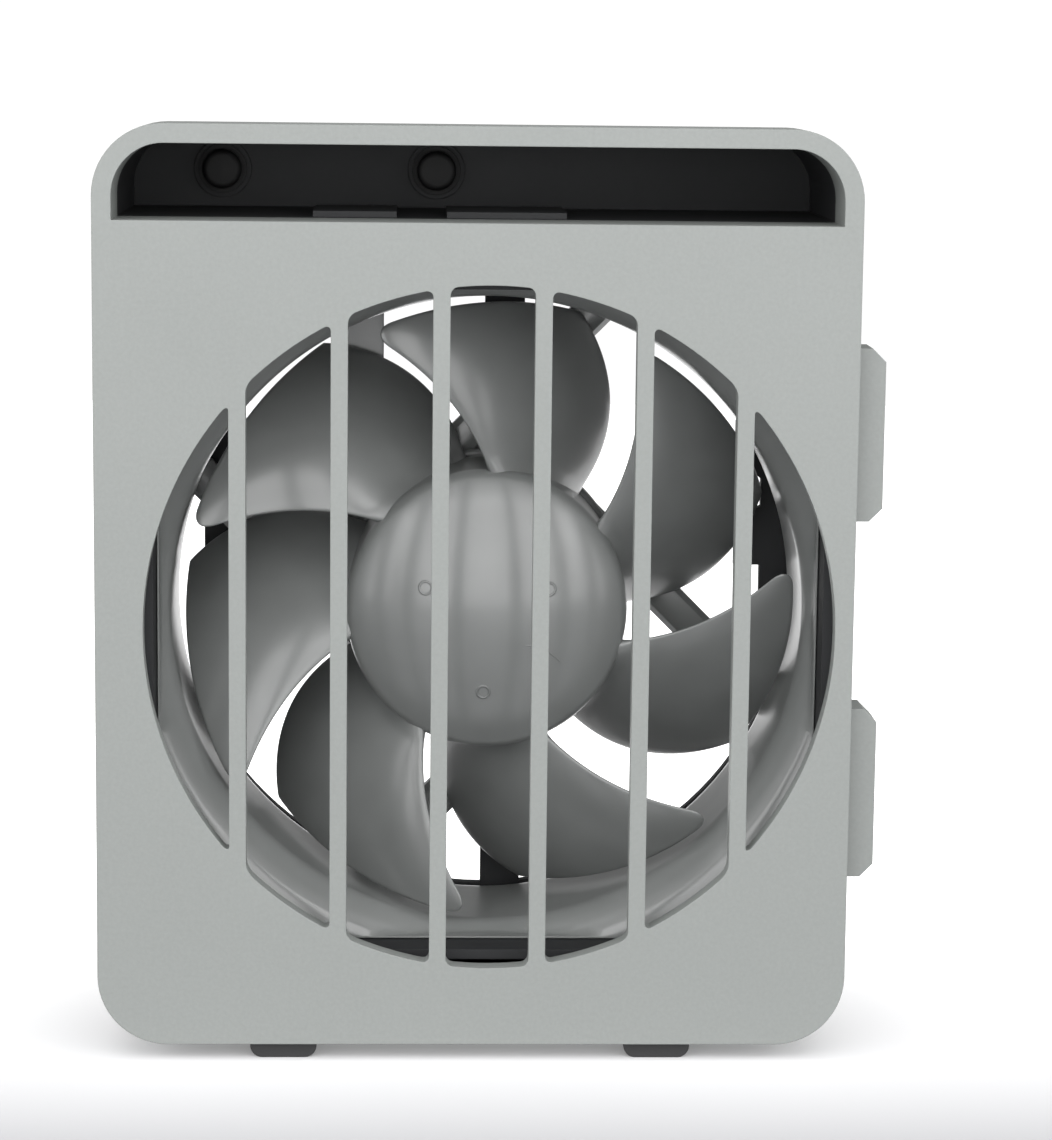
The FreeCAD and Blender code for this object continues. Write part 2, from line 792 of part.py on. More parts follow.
def make_bearing_tube():
    """Brass tube with a shoulder between its two bearing seats."""
    tube = rod(tube_radius, bearing_front_back - 2 * tube_lip, tube_rear_back)
    front_seat_end = bearing_front_back + bearing_length
    seats = [rod(bearing_radius, bearing_front_back - past, front_seat_end),
             rod(bearing_radius, bearing_rear_back, tube_rear_back + past),
             rod(bearing_radius - tube_step, front_seat_end - past, bearing_rear_back + past)]
    foot = ring(tube_radius, bearing_radius - tube_step, tube_rear_back, fan_rear_back - cap_recess)
    return tube.cut(seats).fuse(foot).removeSplitter()


def make_stator_core():
    """Laminated core with four pole shoes."""
    start = stator_front_back
    end = stator_rear_back
    pieces = [ring(yoke_radius, stator_bore, start, end)]
    shoe = ring(stator_radius, stator_radius - shoe_thickness, start, end)
    pole_turn = 360.0 / pole_count
    half = neck_width / 2
    for index in range(pole_count):
        neck = block(yoke_radius - past, stator_radius - shoe_thickness / 2, start, end, -half, half)
        pieces.append(spin(neck, pole_turn * index))
        slit = block(stator_radius - shoe_thickness - past, stator_radius + past, start - past, end + past,
                     -shoe_slot / 2, shoe_slot / 2)
        shoe = shoe.cut(spin(slit, pole_turn * (index + 0.5)))
    return shoe.fuse(pieces).removeSplitter()


def make_insulator(start):
    """Moulded end cap of the bobbin, on one face of the core."""
    end = start + insulator_thickness
    half = neck_width / 2
    pieces = []
    for index in range(pole_count):
        neck = block(yoke_radius - past, stator_radius - insulator_inset, start, end, -half, half)
        pieces.append(spin(neck, 360.0 / pole_count * index))
    return ring(yoke_radius, stator_bore, start, end).fuse(pieces).removeSplitter()


def make_coils():
    """One copper winding round each pole."""
    inner = yoke_radius + coil_gap
    outer = stator_radius - shoe_thickness - coil_gap
    start = stator_front_back - insulator_thickness
    end = stator_rear_back + insulator_thickness
    front = start - coil_overhang
    rear = end + coil_overhang
    half = coil_width / 2
    body = block(0, outer, front, rear, -half, half)
    body = body.cut(block(-past, outer + past, start, end, -neck_width / 2, neck_width / 2))
    body = body.common(ring(outer, inner, front - past, rear + past))
    return [spin(body, 360.0 / pole_count * index) for index in range(pole_count)]


def make_circuit_board():
    """Round drive board behind the stator."""
    return ring(board_radius, tube_radius + board_inset, board_back, board_rear_back)


def make_hall_sensor():
    """Small sensor on the board, facing the magnet."""
    outer = board_radius - sensor_inset
    sensor = block(outer - sensor_length, outer, board_back - sensor_height, board_back,
                   -sensor_width / 2, sensor_width / 2)
    return spin(sensor, 180.0 / pole_count)


def board_part(length, width, height):
    """Block on the back of the board, midway between its bore and its rim."""
    middle = (board_radius + tube_radius) / 2.0
    return block(middle - length / 2.0, middle + length / 2.0, board_rear_back, board_rear_back + height,
                 -width / 2.0, width / 2.0)


def make_board_parts():
    """Driver chip and capacitor on the back of the board."""
    chip = board_part(chip_length, chip_width, chip_height)
    capacitor = board_part(capacitor_length, capacitor_width, capacitor_height)
    return [chip, spin(capacitor, capacitor_turn)]


# ---------------------------------------------------------------- screws, pads and feet
def pan_head(head_radius, head_height, face_back, x, height):
    """Screw head in front of its seat, with a rounded front edge and a cross recess."""
    front_back = face_back - head_height
    head = rod(head_radius, front_back, face_back, x, height)
    rim = [edge for edge in head.Edges if abs(edge.CenterOfMass.y - (front_y + front_back)) < 1e-6]
    head = head.makeFillet(head_height * head_round_share, rim)
    half = drive_width / 2
    reach = head_radius * drive_reach_share
    floor = front_back + head_height * drive_depth_share
    drive = [block(x - reach, x + reach, front_back - past, floor, height - half, height + half),
             block(x - half, x + half, front_back - past, floor, height - reach, height + reach)]
    return head.cut(drive)


def turned_round(shape, back):
    """Copy mirrored in depth about one plane, so that a screw enters from behind."""
    return shape.mirror(place(0, back, 0), V(0, 1, 0))


def make_mounting_screws():
    """Two M4 screws whose thread starts behind the wall, with a thinner neck up to the head."""
    screws = []
    for x in mount_screw_centres:
        head = pan_head(mount_head_radius, mount_head_height, head_face_back, x, mount_screw_height)
        neck = rod(mount_neck_radius, head_face_back - sink, thread_start_back + sink, x, mount_screw_height)
        thread = rod(mount_screw_radius, thread_start_back, thread_end_back, x, mount_screw_height)
        screws.append(head.fuse([neck, thread]).removeSplitter())
    return screws


def make_mount_washers(radius, thickness, face_back):
    """One ring under each mounting screw's head, captive on its neck."""
    return [ring(radius, mount_neck_radius + washer_gap, face_back - thickness, face_back, x,
                 mount_screw_height) for x in mount_screw_centres]


def rear_screw(radius, head_radius, head_height, length, face_back, x, height):
    """Screw that enters from behind, with its head's seat at one depth."""
    head = pan_head(head_radius, head_height, face_back, x, height)
    screw = head.fuse(rod(radius, face_back - sink, face_back + length, x, height)).removeSplitter()
    return turned_round(screw, face_back)


def make_case_screws():
    """Screws from behind that pull the shell on to the carrier."""
    face = shell_depth + case_screw_grip
    return [rear_screw(case_screw_radius, case_head_radius, case_head_height, case_screw_length,
                       face, x, height) for x, height in case_screw_places()]


def make_fan_screws():
    """Screws from behind that hold the fan through its rubber pads."""
    length = carrier_wall + pad_thickness + flange_thickness
    return [rear_screw(fan_hole_radius - screw_hole_gap, fan_head_radius, fan_head_height, length,
                       carrier_rear_back, x, height) for x, height in fan_hole_places()]


def make_vibration_pads():
    """Rubber rings between the fan's rear flange and the carrier."""
    return [ring(pad_radius, fan_hole_radius + screw_hole_gap, fan_rear_back, rear_wall_front_back, x, height)
            for x, height in fan_hole_places()]


def foot(x, back, top):
    """Rubber foot with rounded lower edges, standing on the floor."""
    half = foot_width / 2.0
    block_shape = block(x - half, x + half, back, back + foot_length, -axis_z, top)
    edges = [edge for edge in block_shape.Edges
             if abs(edge.CenterOfMass.z) < 1e-6 and abs(abs(edge.CenterOfMass.x - x) - half) < 1e-6]
    return block_shape.makeFillet(foot_round, edges)


def make_feet(back, top):
    """A pair of feet at one depth, up to the wall that they are fixed to."""
    return [foot(x, back, top) for x in foot_centres]


# ---------------------------------------------------------------- power socket
def make_power_socket():
    """Plug-in power socket, blind from behind."""
    body = socket_block(-socket_gap, rear_wall_front_back - socket_depth, carrier_rear_back)
    flange = socket_block(socket_flange, rear_wall_front_back - socket_flange_thickness, rear_wall_front_back)
    mouth = socket_block(-socket_wall, rear_wall_front_back - socket_well, carrier_rear_back + past)
    return body.fuse(flange).cut(mouth).removeSplitter()


def make_socket_pins():
    """Square contacts in the socket."""
    middle = (socket_low + socket_high) / 2
    half = contact_side / 2
    pins = []
    for index in range(contact_count):
        x = socket_centre + (index - (contact_count - 1) / 2) * contact_pitch
        pins.append(block(x - half, x + half, rear_wall_front_back - socket_well,
                          carrier_rear_back - contact_recess, middle - half, middle + half))
    return pins


# ---------------------------------------------------------------- build
def main():
    """Build every node and write it."""
    os.makedirs("parts", exist_ok=True)
    save("front_shell", make_front_shell())
    save("rear_carrier", make_rear_carrier())
    save("fan_frame", make_fan_frame())
    save("impeller", make_impeller())
    save("rotor_cup", make_rotor_cup())
    save("magnet_ring", ring(magnet_radius, magnet_bore, magnet_front_back, magnet_rear_back))
    save("shaft_boss", make_shaft_boss())
    save("shaft", make_shaft())
    save("retaining_clip", make_clip())
    save("preload_spring", make_preload_spring())
    for end, back in (("front", bearing_front_back), ("rear", bearing_rear_back)):
        save("bearing_outer_" + end, outer_ring(back))
        save("bearing_inner_" + end, inner_ring(back))
        save("bearing_balls_" + end, ball_set(back))
    save("bearing_tube", make_bearing_tube())
    save("stator_core", make_stator_core())
    save("insulator_front", make_insulator(stator_front_back - insulator_thickness))
    save("insulator_rear", make_insulator(stator_rear_back))
    save("coils", make_coils())
    save("circuit_board", make_circuit_board())
    save("hall_sensor", make_hall_sensor())
    save("board_parts", make_board_parts())
    save("base_cap", make_base_cap())
    save("mounting_screws", make_mounting_screws())
    save("lock_washers", make_mount_washers(lock_washer_radius, lock_washer_thickness,
                                            boss_face_back - flat_washer_thickness))
    save("flat_washers", make_mount_washers(flat_washer_radius, flat_washer_thickness, boss_face_back))
    save("case_screws", make_case_screws())
    save("fan_screws", make_fan_screws())
    save("vibration_pads", make_vibration_pads())
    save("front_feet", make_feet(foot_front_back, bottom_h))
    save("rear_feet", make_feet(foot_rear_back, bottom_h + carrier_inset))
    save("power_socket", make_power_socket())
    save("socket_pins", make_socket_pins())


main()
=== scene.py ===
"""Looks of a cooling-fan module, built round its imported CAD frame.

Lengths in the classes are millimetres.  Places are (x, back, height): x to the right of the
fan's axis, back behind the front face, and height above the fan's axis.
"""
import json
import logging
import math
from dataclasses import dataclass
from enum import Enum

import bmesh
import bpy
import numpy as np
from mathutils import Matrix, Vector


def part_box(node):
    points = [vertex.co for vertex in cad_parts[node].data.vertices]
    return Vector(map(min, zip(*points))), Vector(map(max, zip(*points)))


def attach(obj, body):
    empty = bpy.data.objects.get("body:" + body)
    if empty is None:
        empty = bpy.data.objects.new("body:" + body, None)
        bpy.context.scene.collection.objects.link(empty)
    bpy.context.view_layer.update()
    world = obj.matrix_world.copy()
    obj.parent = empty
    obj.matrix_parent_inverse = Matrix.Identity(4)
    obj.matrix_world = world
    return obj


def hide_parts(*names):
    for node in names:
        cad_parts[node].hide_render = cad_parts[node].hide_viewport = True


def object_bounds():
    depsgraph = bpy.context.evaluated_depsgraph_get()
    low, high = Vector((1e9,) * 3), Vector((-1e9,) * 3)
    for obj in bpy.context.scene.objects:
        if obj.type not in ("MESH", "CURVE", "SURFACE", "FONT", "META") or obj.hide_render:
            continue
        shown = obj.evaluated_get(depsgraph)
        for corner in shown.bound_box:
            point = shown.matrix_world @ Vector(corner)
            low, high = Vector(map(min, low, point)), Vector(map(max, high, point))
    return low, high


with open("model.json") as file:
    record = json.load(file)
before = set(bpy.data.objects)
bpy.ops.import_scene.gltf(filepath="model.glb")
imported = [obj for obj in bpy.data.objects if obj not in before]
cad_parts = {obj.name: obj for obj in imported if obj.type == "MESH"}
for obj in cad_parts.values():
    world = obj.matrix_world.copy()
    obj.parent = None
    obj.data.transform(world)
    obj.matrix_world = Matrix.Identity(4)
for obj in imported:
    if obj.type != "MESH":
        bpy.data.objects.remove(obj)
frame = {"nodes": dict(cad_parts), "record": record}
CAD_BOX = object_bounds()
MM = 0.001
LOG = logging.getLogger("fan_module")
# bands that a wave texture of scale 1 draws over one unit
BANDS_PER_UNIT = 3.2


# ------------------------------------------------------------------ frame places
@dataclass(frozen=True)
class Datum:
    """Where the fan's axis and the front face stand in the row frame, in metres."""

    axis_x: float
    front_y: float
    axis_z: float

    @staticmethod
    def from_frame() -> "Datum":
        """Read the datum from the CAD nodes.

        Returns:
            The datum, in metres of the row frame.
        """
        low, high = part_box("fan_frame")
        face_low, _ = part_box("front_shell")
        return Datum((low.x + high.x) / 2, face_low.y, (low.z + high.z) / 2)

    def world(self, points: np.ndarray) -> np.ndarray:
        """Turn (x, back, height) millimetres into row-frame metres.

        Args:
            points: array of shape (n, 3) in millimetres.

        Returns:
            Array of shape (n, 3) in metres.
        """
        origin = np.array([self.axis_x, self.front_y, self.axis_z])
        return np.asarray(points, float).reshape(-1, 3) * MM + origin

    def local(self, corner: Vector) -> np.ndarray:
        """Turn a row-frame point into (x, back, height) millimetres."""
        origin = np.array([self.axis_x, self.front_y, self.axis_z])
        return (np.array(corner) - origin) / MM


DATUM = Datum.from_frame()


# ------------------------------------------------------------------ mesh helpers
def grid_quads(rows: int, columns: int, wrap_rows: bool = False, wrap_columns: bool = False) -> np.ndarray:
    """Quads of a grid whose point (r, c) has index r * columns + c.

    Args:
        rows: number of point rows.
        columns: number of point columns.
        wrap_rows: join the last row to the first.
        wrap_columns: join the last column to the first.

    Returns:
        Integer array of shape (quads, 4).
    """
    r = np.arange(rows if wrap_rows else rows - 1)
    c = np.arange(columns if wrap_columns else columns - 1)
    r, c = np.meshgrid(r, c, indexing="ij")
    after_r, after_c = (r + 1) % rows, (c + 1) % columns
    first, second = r * columns, after_r * columns
    quads = np.stack([first + c, first + after_c, second + after_c, second + c], -1)
    return quads.reshape(-1, 4)


class Surface:
    """Collects numpy-made patches, then puts them into one mesh."""

    def __init__(self) -> None:
        """Start empty."""
        self.points: list[np.ndarray] = []
        self.faces: list[list[int]] = []
        self.count = 0

    def add(self, points: np.ndarray, faces: np.ndarray | list) -> "Surface":
        """Append one patch.

        Args:
            points: (n, 3) millimetre places.
            faces: index rows into those points; rows may differ in length.

        Returns:
            The surface itself.
        """
        points = np.asarray(points, float).reshape(-1, 3)
        self.points.append(points)
        self.faces.extend([int(i) + self.count for i in face] for face in faces)
        self.count += len(points)
        return self

    def lofted(self, rings: np.ndarray, closed: bool = False) -> "Surface":
        """Skin of equal rings of points, capped by flat ends unless closed on itself.

        Args:
            rings: (rings, points, 3) places, each ring a loop.
            closed: join the last ring to the first instead of capping.

        Returns:
            The surface itself.
        """
        count, size = rings.shape[:2]
        faces = list(grid_quads(count, size, closed, True))
        if not closed:
            faces.append(np.arange(size)[::-1])
            faces.append(np.arange(size) + (count - 1) * size)
        return self.add(rings.reshape(-1, 3), faces)

    def turned(self, profile: np.ndarray, segments: int = 96, centre: tuple = (0.0, 0.0)) -> "Surface":
        """Closed skin of a (radius, back) profile turned about an axis along Y.

        A profile point of zero radius becomes a pole and is merged when the mesh is made.

        Args:
            profile: (n, 2) radii and depths, in order.
            segments: steps round the axis.
            centre: (x, height) of the axis.

        Returns:
            The surface itself.
        """
        profile = np.asarray(profile, float)
        angle = np.linspace(0, 2 * math.pi, segments, endpoint=False)
        radius, back = profile[:, :1], profile[:, 1:]
        x = centre[0] + radius * np.cos(angle)
        height = centre[1] + radius * np.sin(angle)
        points = np.stack([x, back + 0 * angle, height], -1)
        closed_loop = profile[0, 0] > 0 and profile[-1, 0] > 0
        return self.add(points, grid_quads(len(profile), segments, closed_loop, True))

    def prism(self, outline: np.ndarray, back0: float, back1: float) -> "Surface":
        """Closed prism along Y over an (x, height) outline.

        Args:
            outline: (n, 2) loop of points.
            back0: front depth.
            back1: rear depth.

        Returns:
            The surface itself.
        """
        outline = np.asarray(outline, float)
        rings = [np.column_stack([outline[:, 0], np.full(len(outline), back), outline[:, 1]])
                 for back in (back0, back1)]
        return self.lofted(np.stack(rings))

    def piece(self, name: str, smooth_angle: float = 35.0) -> bpy.types.Object:
        """Make the object: poles and seams merged, faces turned outwards, soft shading below an angle.

        Args:
            name: object name.
            smooth_angle: sharpest angle in degrees that is shaded smooth.

        Returns:
            The new object, at the origin.
        """
        mesh = bpy.data.meshes.new(name)
        mesh.from_pydata(DATUM.world(np.concatenate(self.points)), [], self.faces)
        obj = bpy.data.objects.new(name, mesh)
        bpy.context.scene.collection.objects.link(obj)
        tidy_mesh(obj, smooth_angle)
        return obj


def tidy_mesh(obj: bpy.types.Object, smooth_angle: float) -> None:
    """Merge doubled points, drop flat faces, point the faces outwards and set the shading.

    Args:
        obj: mesh object to tidy.
        smooth_angle: sharpest angle in degrees that is shaded smooth.
    """
    work = bmesh.new()
    work.from_mesh(obj.data)
    bmesh.ops.remove_doubles(work, verts=work.verts, dist=2e-6)
    bmesh.ops.dissolve_degenerate(work, edges=work.edges, dist=1e-7)
    bmesh.ops.recalc_face_normals(work, faces=work.faces)
    work.to_mesh(obj.data)
    work.free()
    obj.data.shade_smooth()
    obj.data.set_sharp_from_angle(angle=math.radians(smooth_angle))


def bevel(obj: bpy.types.Object, width: float, segments: int = 3, angle: float = 40.0) -> bpy.types.Object:
    """Round the sharp edges of a piece.

    Args:
        obj: the piece.
        width: radius in millimetres.
        segments: steps over the round.
        angle: smallest edge angle that is rounded, in degrees.

    Returns:
        The same piece.
    """
    modifier = obj.modifiers.new("edge_round", "BEVEL")
    modifier.width = width * MM
    modifier.segments = segments
    modifier.limit_method = "ANGLE"
    modifier.angle_limit = math.radians(angle)
    modifier.harden_normals = True
    return obj


def rounded_loop(x0: float, x1: float, h0: float, h1: float, radius: float, steps: int = 10) -> np.ndarray:
    """Loop of a rectangle with quarter-circle corners, anticlockwise from the lower left.

    Args:
        x0: left side.
        x1: right side.
        h0: lower side.
        h1: upper side.
        radius: corner radius.
        steps: points per corner less one.

    Returns:
        (n, 2) loop of points.
    """
    turn = np.linspace(0, math.pi / 2, steps + 1)
    corners = []
    for cx, ch, start in ((x0 + radius, h0 + radius, math.pi), (x1 - radius, h0 + radius, 1.5 * math.pi),
                          (x1 - radius, h1 - radius, 0.0), (x0 + radius, h1 - radius, 0.5 * math.pi)):
        corners.append(np.column_stack([cx + radius * np.cos(start + turn),
                                        ch + radius * np.sin(start + turn)]))
    return np.concatenate(corners)


# ------------------------------------------------------------------ materials
def linear(hex_colour: str) -> tuple[float, float, float, float]:
    """Turn an sRGB hex colour into linear red, green, blue and alpha.

    Args:
        hex_colour: six hex digits after a hash sign.

    Returns:
        Four shares from 0 to 1, the last always 1.
    """
    channels = [int(hex_colour[i:i + 2], 16) / 255 for i in (1, 3, 5)]
    flat = [c / 12.92 if c <= 0.04045 else ((c + 0.055) / 1.055) ** 2.4 for c in channels]
    return (*flat, 1.0)


def add_node(tree: bpy.types.NodeTree, kind: str, settings: dict | None = None,
             links: dict | None = None) -> bpy.types.Node:
    """Add a node, set its properties or sockets, and link its inputs.

    Args:
        tree: node tree.
        kind: node type.
        settings: property or socket names (or socket numbers) and their values.
        links: input names or numbers and the output sockets that feed them.

    Returns:
        The new node.
    """
    node = tree.nodes.new(kind)
    for key, value in (settings or {}).items():
        if isinstance(key, str) and hasattr(node, key):
            setattr(node, key, value)
        else:
            node.inputs[key].default_value = value
    for key, source in (links or {}).items():
        tree.links.new(source, node.inputs[key])
    return node


class Grain(Enum):
    """How a surface was made, which sets its fine relief."""

    SPARK_ERODED = "spark-eroded mould: fine even pebble"
    POLISHED_MOULD = "polished mould: faint flow waves"
    GROUND = "ground or drawn: fine rings round the axis"
    SHEET = "rolled sheet or board: faint cloudiness"
    WOUND = "wound wire: close ridges"


@dataclass(frozen=True)
class Finish:
    """One real material and the way its surface was made."""

    name: str
    colour: str
    second_colour: str
    roughness: float
    grain: Grain
    grain_mm: float
    relief_mm: float
    metallic: float = 0.0
    ior: float = 1.5
    roughness_spread: float = 0.06
    cloud_mm: float = 35.0
    coat: float = 0.0
    coat_roughness: float = 0.18
    edge_mm: float = 0.25

    def texture(self, tree: bpy.types.NodeTree, place: bpy.types.NodeSocket) -> bpy.types.NodeSocket:
        """Relief pattern between 0 and 1 for this finish.

        Args:
            tree: node tree.
            place: object coordinates in metres.

        Returns:
            Socket with the pattern.
        """
        per_metre = 1.0 / (self.grain_mm * MM)
        if self.grain in (Grain.GROUND, Grain.WOUND):
            distortion = 1.5 if self.grain is Grain.GROUND else 0.2
            wave = add_node(tree, "ShaderNodeTexWave",
                            {"wave_type": "BANDS", "bands_direction": "Y", "Distortion": distortion,
                             "Scale": per_metre / BANDS_PER_UNIT, "Detail": 2.0}, {"Vector": place})
            return wave.outputs["Fac"]
        detail = {Grain.SPARK_ERODED: 3.0, Grain.POLISHED_MOULD: 1.0, Grain.SHEET: 4.0}[self.grain]
        noise = add_node(tree, "ShaderNodeTexNoise",
                         {"Scale": per_metre, "Detail": detail, "Roughness": 0.55}, {"Vector": place})
        return noise.outputs["Fac"]

    def material(self) -> bpy.types.Material:
        """Build the node material.

        Returns:
            The new material.
        """
        material = bpy.data.materials.new(self.name)
        material.use_nodes = True
        tree = material.node_tree
        tree.nodes.clear()
        place = add_node(tree, "ShaderNodeTexCoord").outputs["Object"]
        pattern = self.texture(tree, place)
        cloud = add_node(tree, "ShaderNodeTexNoise", {"Scale": 1.0 / (self.cloud_mm * MM), "Detail": 3.0,
                                                      "Roughness": 0.5}, {"Vector": place}).outputs["Fac"]
        tone = add_node(tree, "ShaderNodeMix", {"data_type": "RGBA", 6: linear(self.colour),
                                                7: linear(self.second_colour)}, {0: cloud})
        colour = tone.outputs[2]
        speck = add_node(tree, "ShaderNodeMix", {"data_type": "RGBA", "blend_type": "SOFT_LIGHT", 0: 0.12},
                         {6: colour, 7: pattern})
        low, high = self.roughness - self.roughness_spread, self.roughness + self.roughness_spread
        rough = add_node(tree, "ShaderNodeMapRange", {"To Min": low, "To Max": high}, {"Value": cloud})
        edge = add_node(tree, "ShaderNodeBevel", {"samples": 4, "Radius": self.edge_mm * MM})
        bump = add_node(tree, "ShaderNodeBump", {"Strength": 1.0, "Distance": self.relief_mm * MM},
                        {"Height": pattern, "Normal": edge.outputs["Normal"]})
        settings = {"Metallic": self.metallic, "Coat Weight": self.coat,
                    "Coat Roughness": self.coat_roughness}
        if not self.metallic:
            settings["IOR"] = self.ior
        shader = add_node(tree, "ShaderNodeBsdfPrincipled", settings,
                          {"Base Color": speck.outputs[2], "Roughness": rough.outputs["Result"],
                           "Normal": bump.outputs["Normal"]})
        add_node(tree, "ShaderNodeOutputMaterial", links={"Surface": shader.outputs["BSDF"]})
        return material


# Each entry is one material slot of the record.  A grain finer than the render can show is drawn
# coarser than the real one: spark-eroded grain is about 0.15 mm, and turned or wound rings are finer still.
FINISHES: dict[str, Finish] = {
    # ABS, light grey, spark-eroded: a soft even sheen with no clear reflections
    "grey_shell": Finish("abs_light_grey", "#6F7270", "#6C6F6D", 0.52,
                         Grain.SPARK_ERODED, 0.7, 0.010, ior=1.53),
    # ABS, black, spark-eroded: matt, dark in the finger slot
    "black_carrier": Finish("abs_black", "#1B1C1E", "#161719", 0.68,
                            Grain.SPARK_ERODED, 0.7, 0.012, ior=1.46),
    # PBT with glass fibre, grey, from a polished mould: glossy with faint flow waves
    "frame_plastic": Finish("pbt_dark_grey", "#6E706F", "#626463", 0.30,
                            Grain.POLISHED_MOULD, 9.0, 0.10, ior=1.57, coat=0.35),
    # PBT with glass fibre, from a polished mould: glossy, a little softer than the frame
    "impeller_plastic": Finish("pbt_impeller", "#636564", "#5B5D5C", 0.38,
                               Grain.POLISHED_MOULD, 8.0, 0.07, ior=1.57, coat=0.6),
    # drawn mild steel, oiled: grey with a soft streak
    "steel": Finish("drawn_steel", "#B0B0B2", "#A0A0A3", 0.35, Grain.GROUND, 0.5, 0.01, metallic=1.0),
    # rubber-bonded ferrite: dark brown and dull
    "ferrite": Finish("bonded_ferrite", "#2B2928", "#232120", 0.60, Grain.SHEET, 1.0, 0.02),
    # turned brass: warm, with fine tool rings
    "brass": Finish("turned_brass", "#C8A665", "#B8955A", 0.30, Grain.GROUND, 0.4, 0.01, metallic=1.0),
    # ground steel: bright, with tight rings
    "ground_steel": Finish("ground_steel", "#C4C4C6", "#B4B4B7", 0.22,
                           Grain.GROUND, 0.3, 0.006, metallic=1.0),
    # phosphated spring steel: dark and satin
    "spring_steel": Finish("phosphated_steel", "#5A5A5E", "#4C4C50", 0.45,
                           Grain.SHEET, 0.6, 0.01, metallic=1.0),
    # polished bearing steel: near a mirror
    "bearing_steel": Finish("polished_bearing_steel", "#D0D0D2", "#C4C4C8", 0.15,
                            Grain.GROUND, 0.4, 0.004, metallic=1.0),
    # stacked laminations: close ridges across the stack
    "lamination_steel": Finish("stamped_laminations", "#7A7C80", "#66686C", 0.40,
                               Grain.WOUND, 0.5, 0.03, metallic=1.0),
    # natural nylon: creamy, slightly waxy
    "white_nylon": Finish("natural_nylon", "#DCD8C8", "#D2CDBB", 0.45, Grain.SHEET, 2.0, 0.01),
    # enamelled copper wire: warm glints on close turns
    "enamelled_copper": Finish("enamelled_copper_wire", "#B4602C", "#9A4C20", 0.30,
                               Grain.WOUND, 0.25, 0.06, metallic=1.0),
    # solder mask on glass-epoxy board: smooth green gloss
    "board": Finish("green_solder_mask", "#1F5A2E", "#184A25", 0.30, Grain.SHEET, 1.5, 0.01),
    # moulded epoxy: dull black
    "chip": Finish("moulded_epoxy", "#1C1C1C", "#242424", 0.55, Grain.SPARK_ERODED, 0.4, 0.006),
    # plain film: smooth dark grey
    "cap_plastic": Finish("blank_cap_film", "#3A3B3B", "#343535", 0.40, Grain.SHEET, 3.0, 0.01),
    # black oxide on steel: a dark skin with hardly a glint
    "black_screw": Finish("black_oxide_steel", "#0B0B0C", "#070708", 0.62, Grain.GROUND, 0.4, 0.008, ior=1.4),
    # zinc-plated steel: bluish and bright
    "zinc_screw": Finish("zinc_plated_steel", "#B8BAC0", "#A6A8AE", 0.30,
                         Grain.SHEET, 0.8, 0.006, metallic=1.0),
    # soft rubber: matt black
    "pad_rubber": Finish("soft_rubber", "#1E1E1E", "#181818", 0.75, Grain.SPARK_ERODED, 0.4, 0.01),
    # moulded rubber: matt black, slightly pebbled
    "foot_rubber": Finish("moulded_rubber", "#161617", "#1C1C1D", 0.70, Grain.SPARK_ERODED, 0.5, 0.015),
    # natural nylon: creamy, slightly waxy
    "socket_plastic": Finish("natural_nylon_socket", "#E0DCCB", "#D5D0BE", 0.42, Grain.SHEET, 2.0, 0.01),
    # tinned brass: pale and smooth
    "contact_metal": Finish("tinned_brass", "#C9B98A", "#B8A87C", 0.28,
                            Grain.GROUND, 0.3, 0.004, metallic=1.0),
}


class Paintbox:
    """Builds each finish once and gives it to pieces and CAD nodes."""

    def __init__(self) -> None:
        """Build every material."""
        self.materials = {slot: finish.material() for slot, finish in FINISHES.items()}
        self.slot_of = {row["node"]: row["material_slot"] for row in frame["record"]["subparts"]}

    def dress_nodes(self) -> None:
        """Give every CAD node its slot's finish."""
        for node, obj in frame["nodes"].items():
            for index in range(max(1, len(obj.material_slots))):
                if index < len(obj.material_slots):
                    obj.material_slots[index].material = self.materials[self.slot_of[node]]
                else:
                    obj.data.materials.append(self.materials[self.slot_of[node]])

    def dress(self, obj: bpy.types.Object, slot: str, body: str, *nodes: str) -> bpy.types.Object:
        """Finish a new piece, hang it on its body and let it stand for its CAD nodes.

        Args:
            obj: the piece.
            slot: material slot.
            body: CAD body that it moves with.
            nodes: CAD nodes that it replaces.

        Returns:
            The same piece.
        """
        obj.data.materials.clear()
        obj.data.materials.append(self.materials[slot])
        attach(obj, body)
        if nodes:
            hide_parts(*nodes)
        LOG.info("%s: %d faces on %s", obj.name, len(obj.data.polygons), body)
        return obj


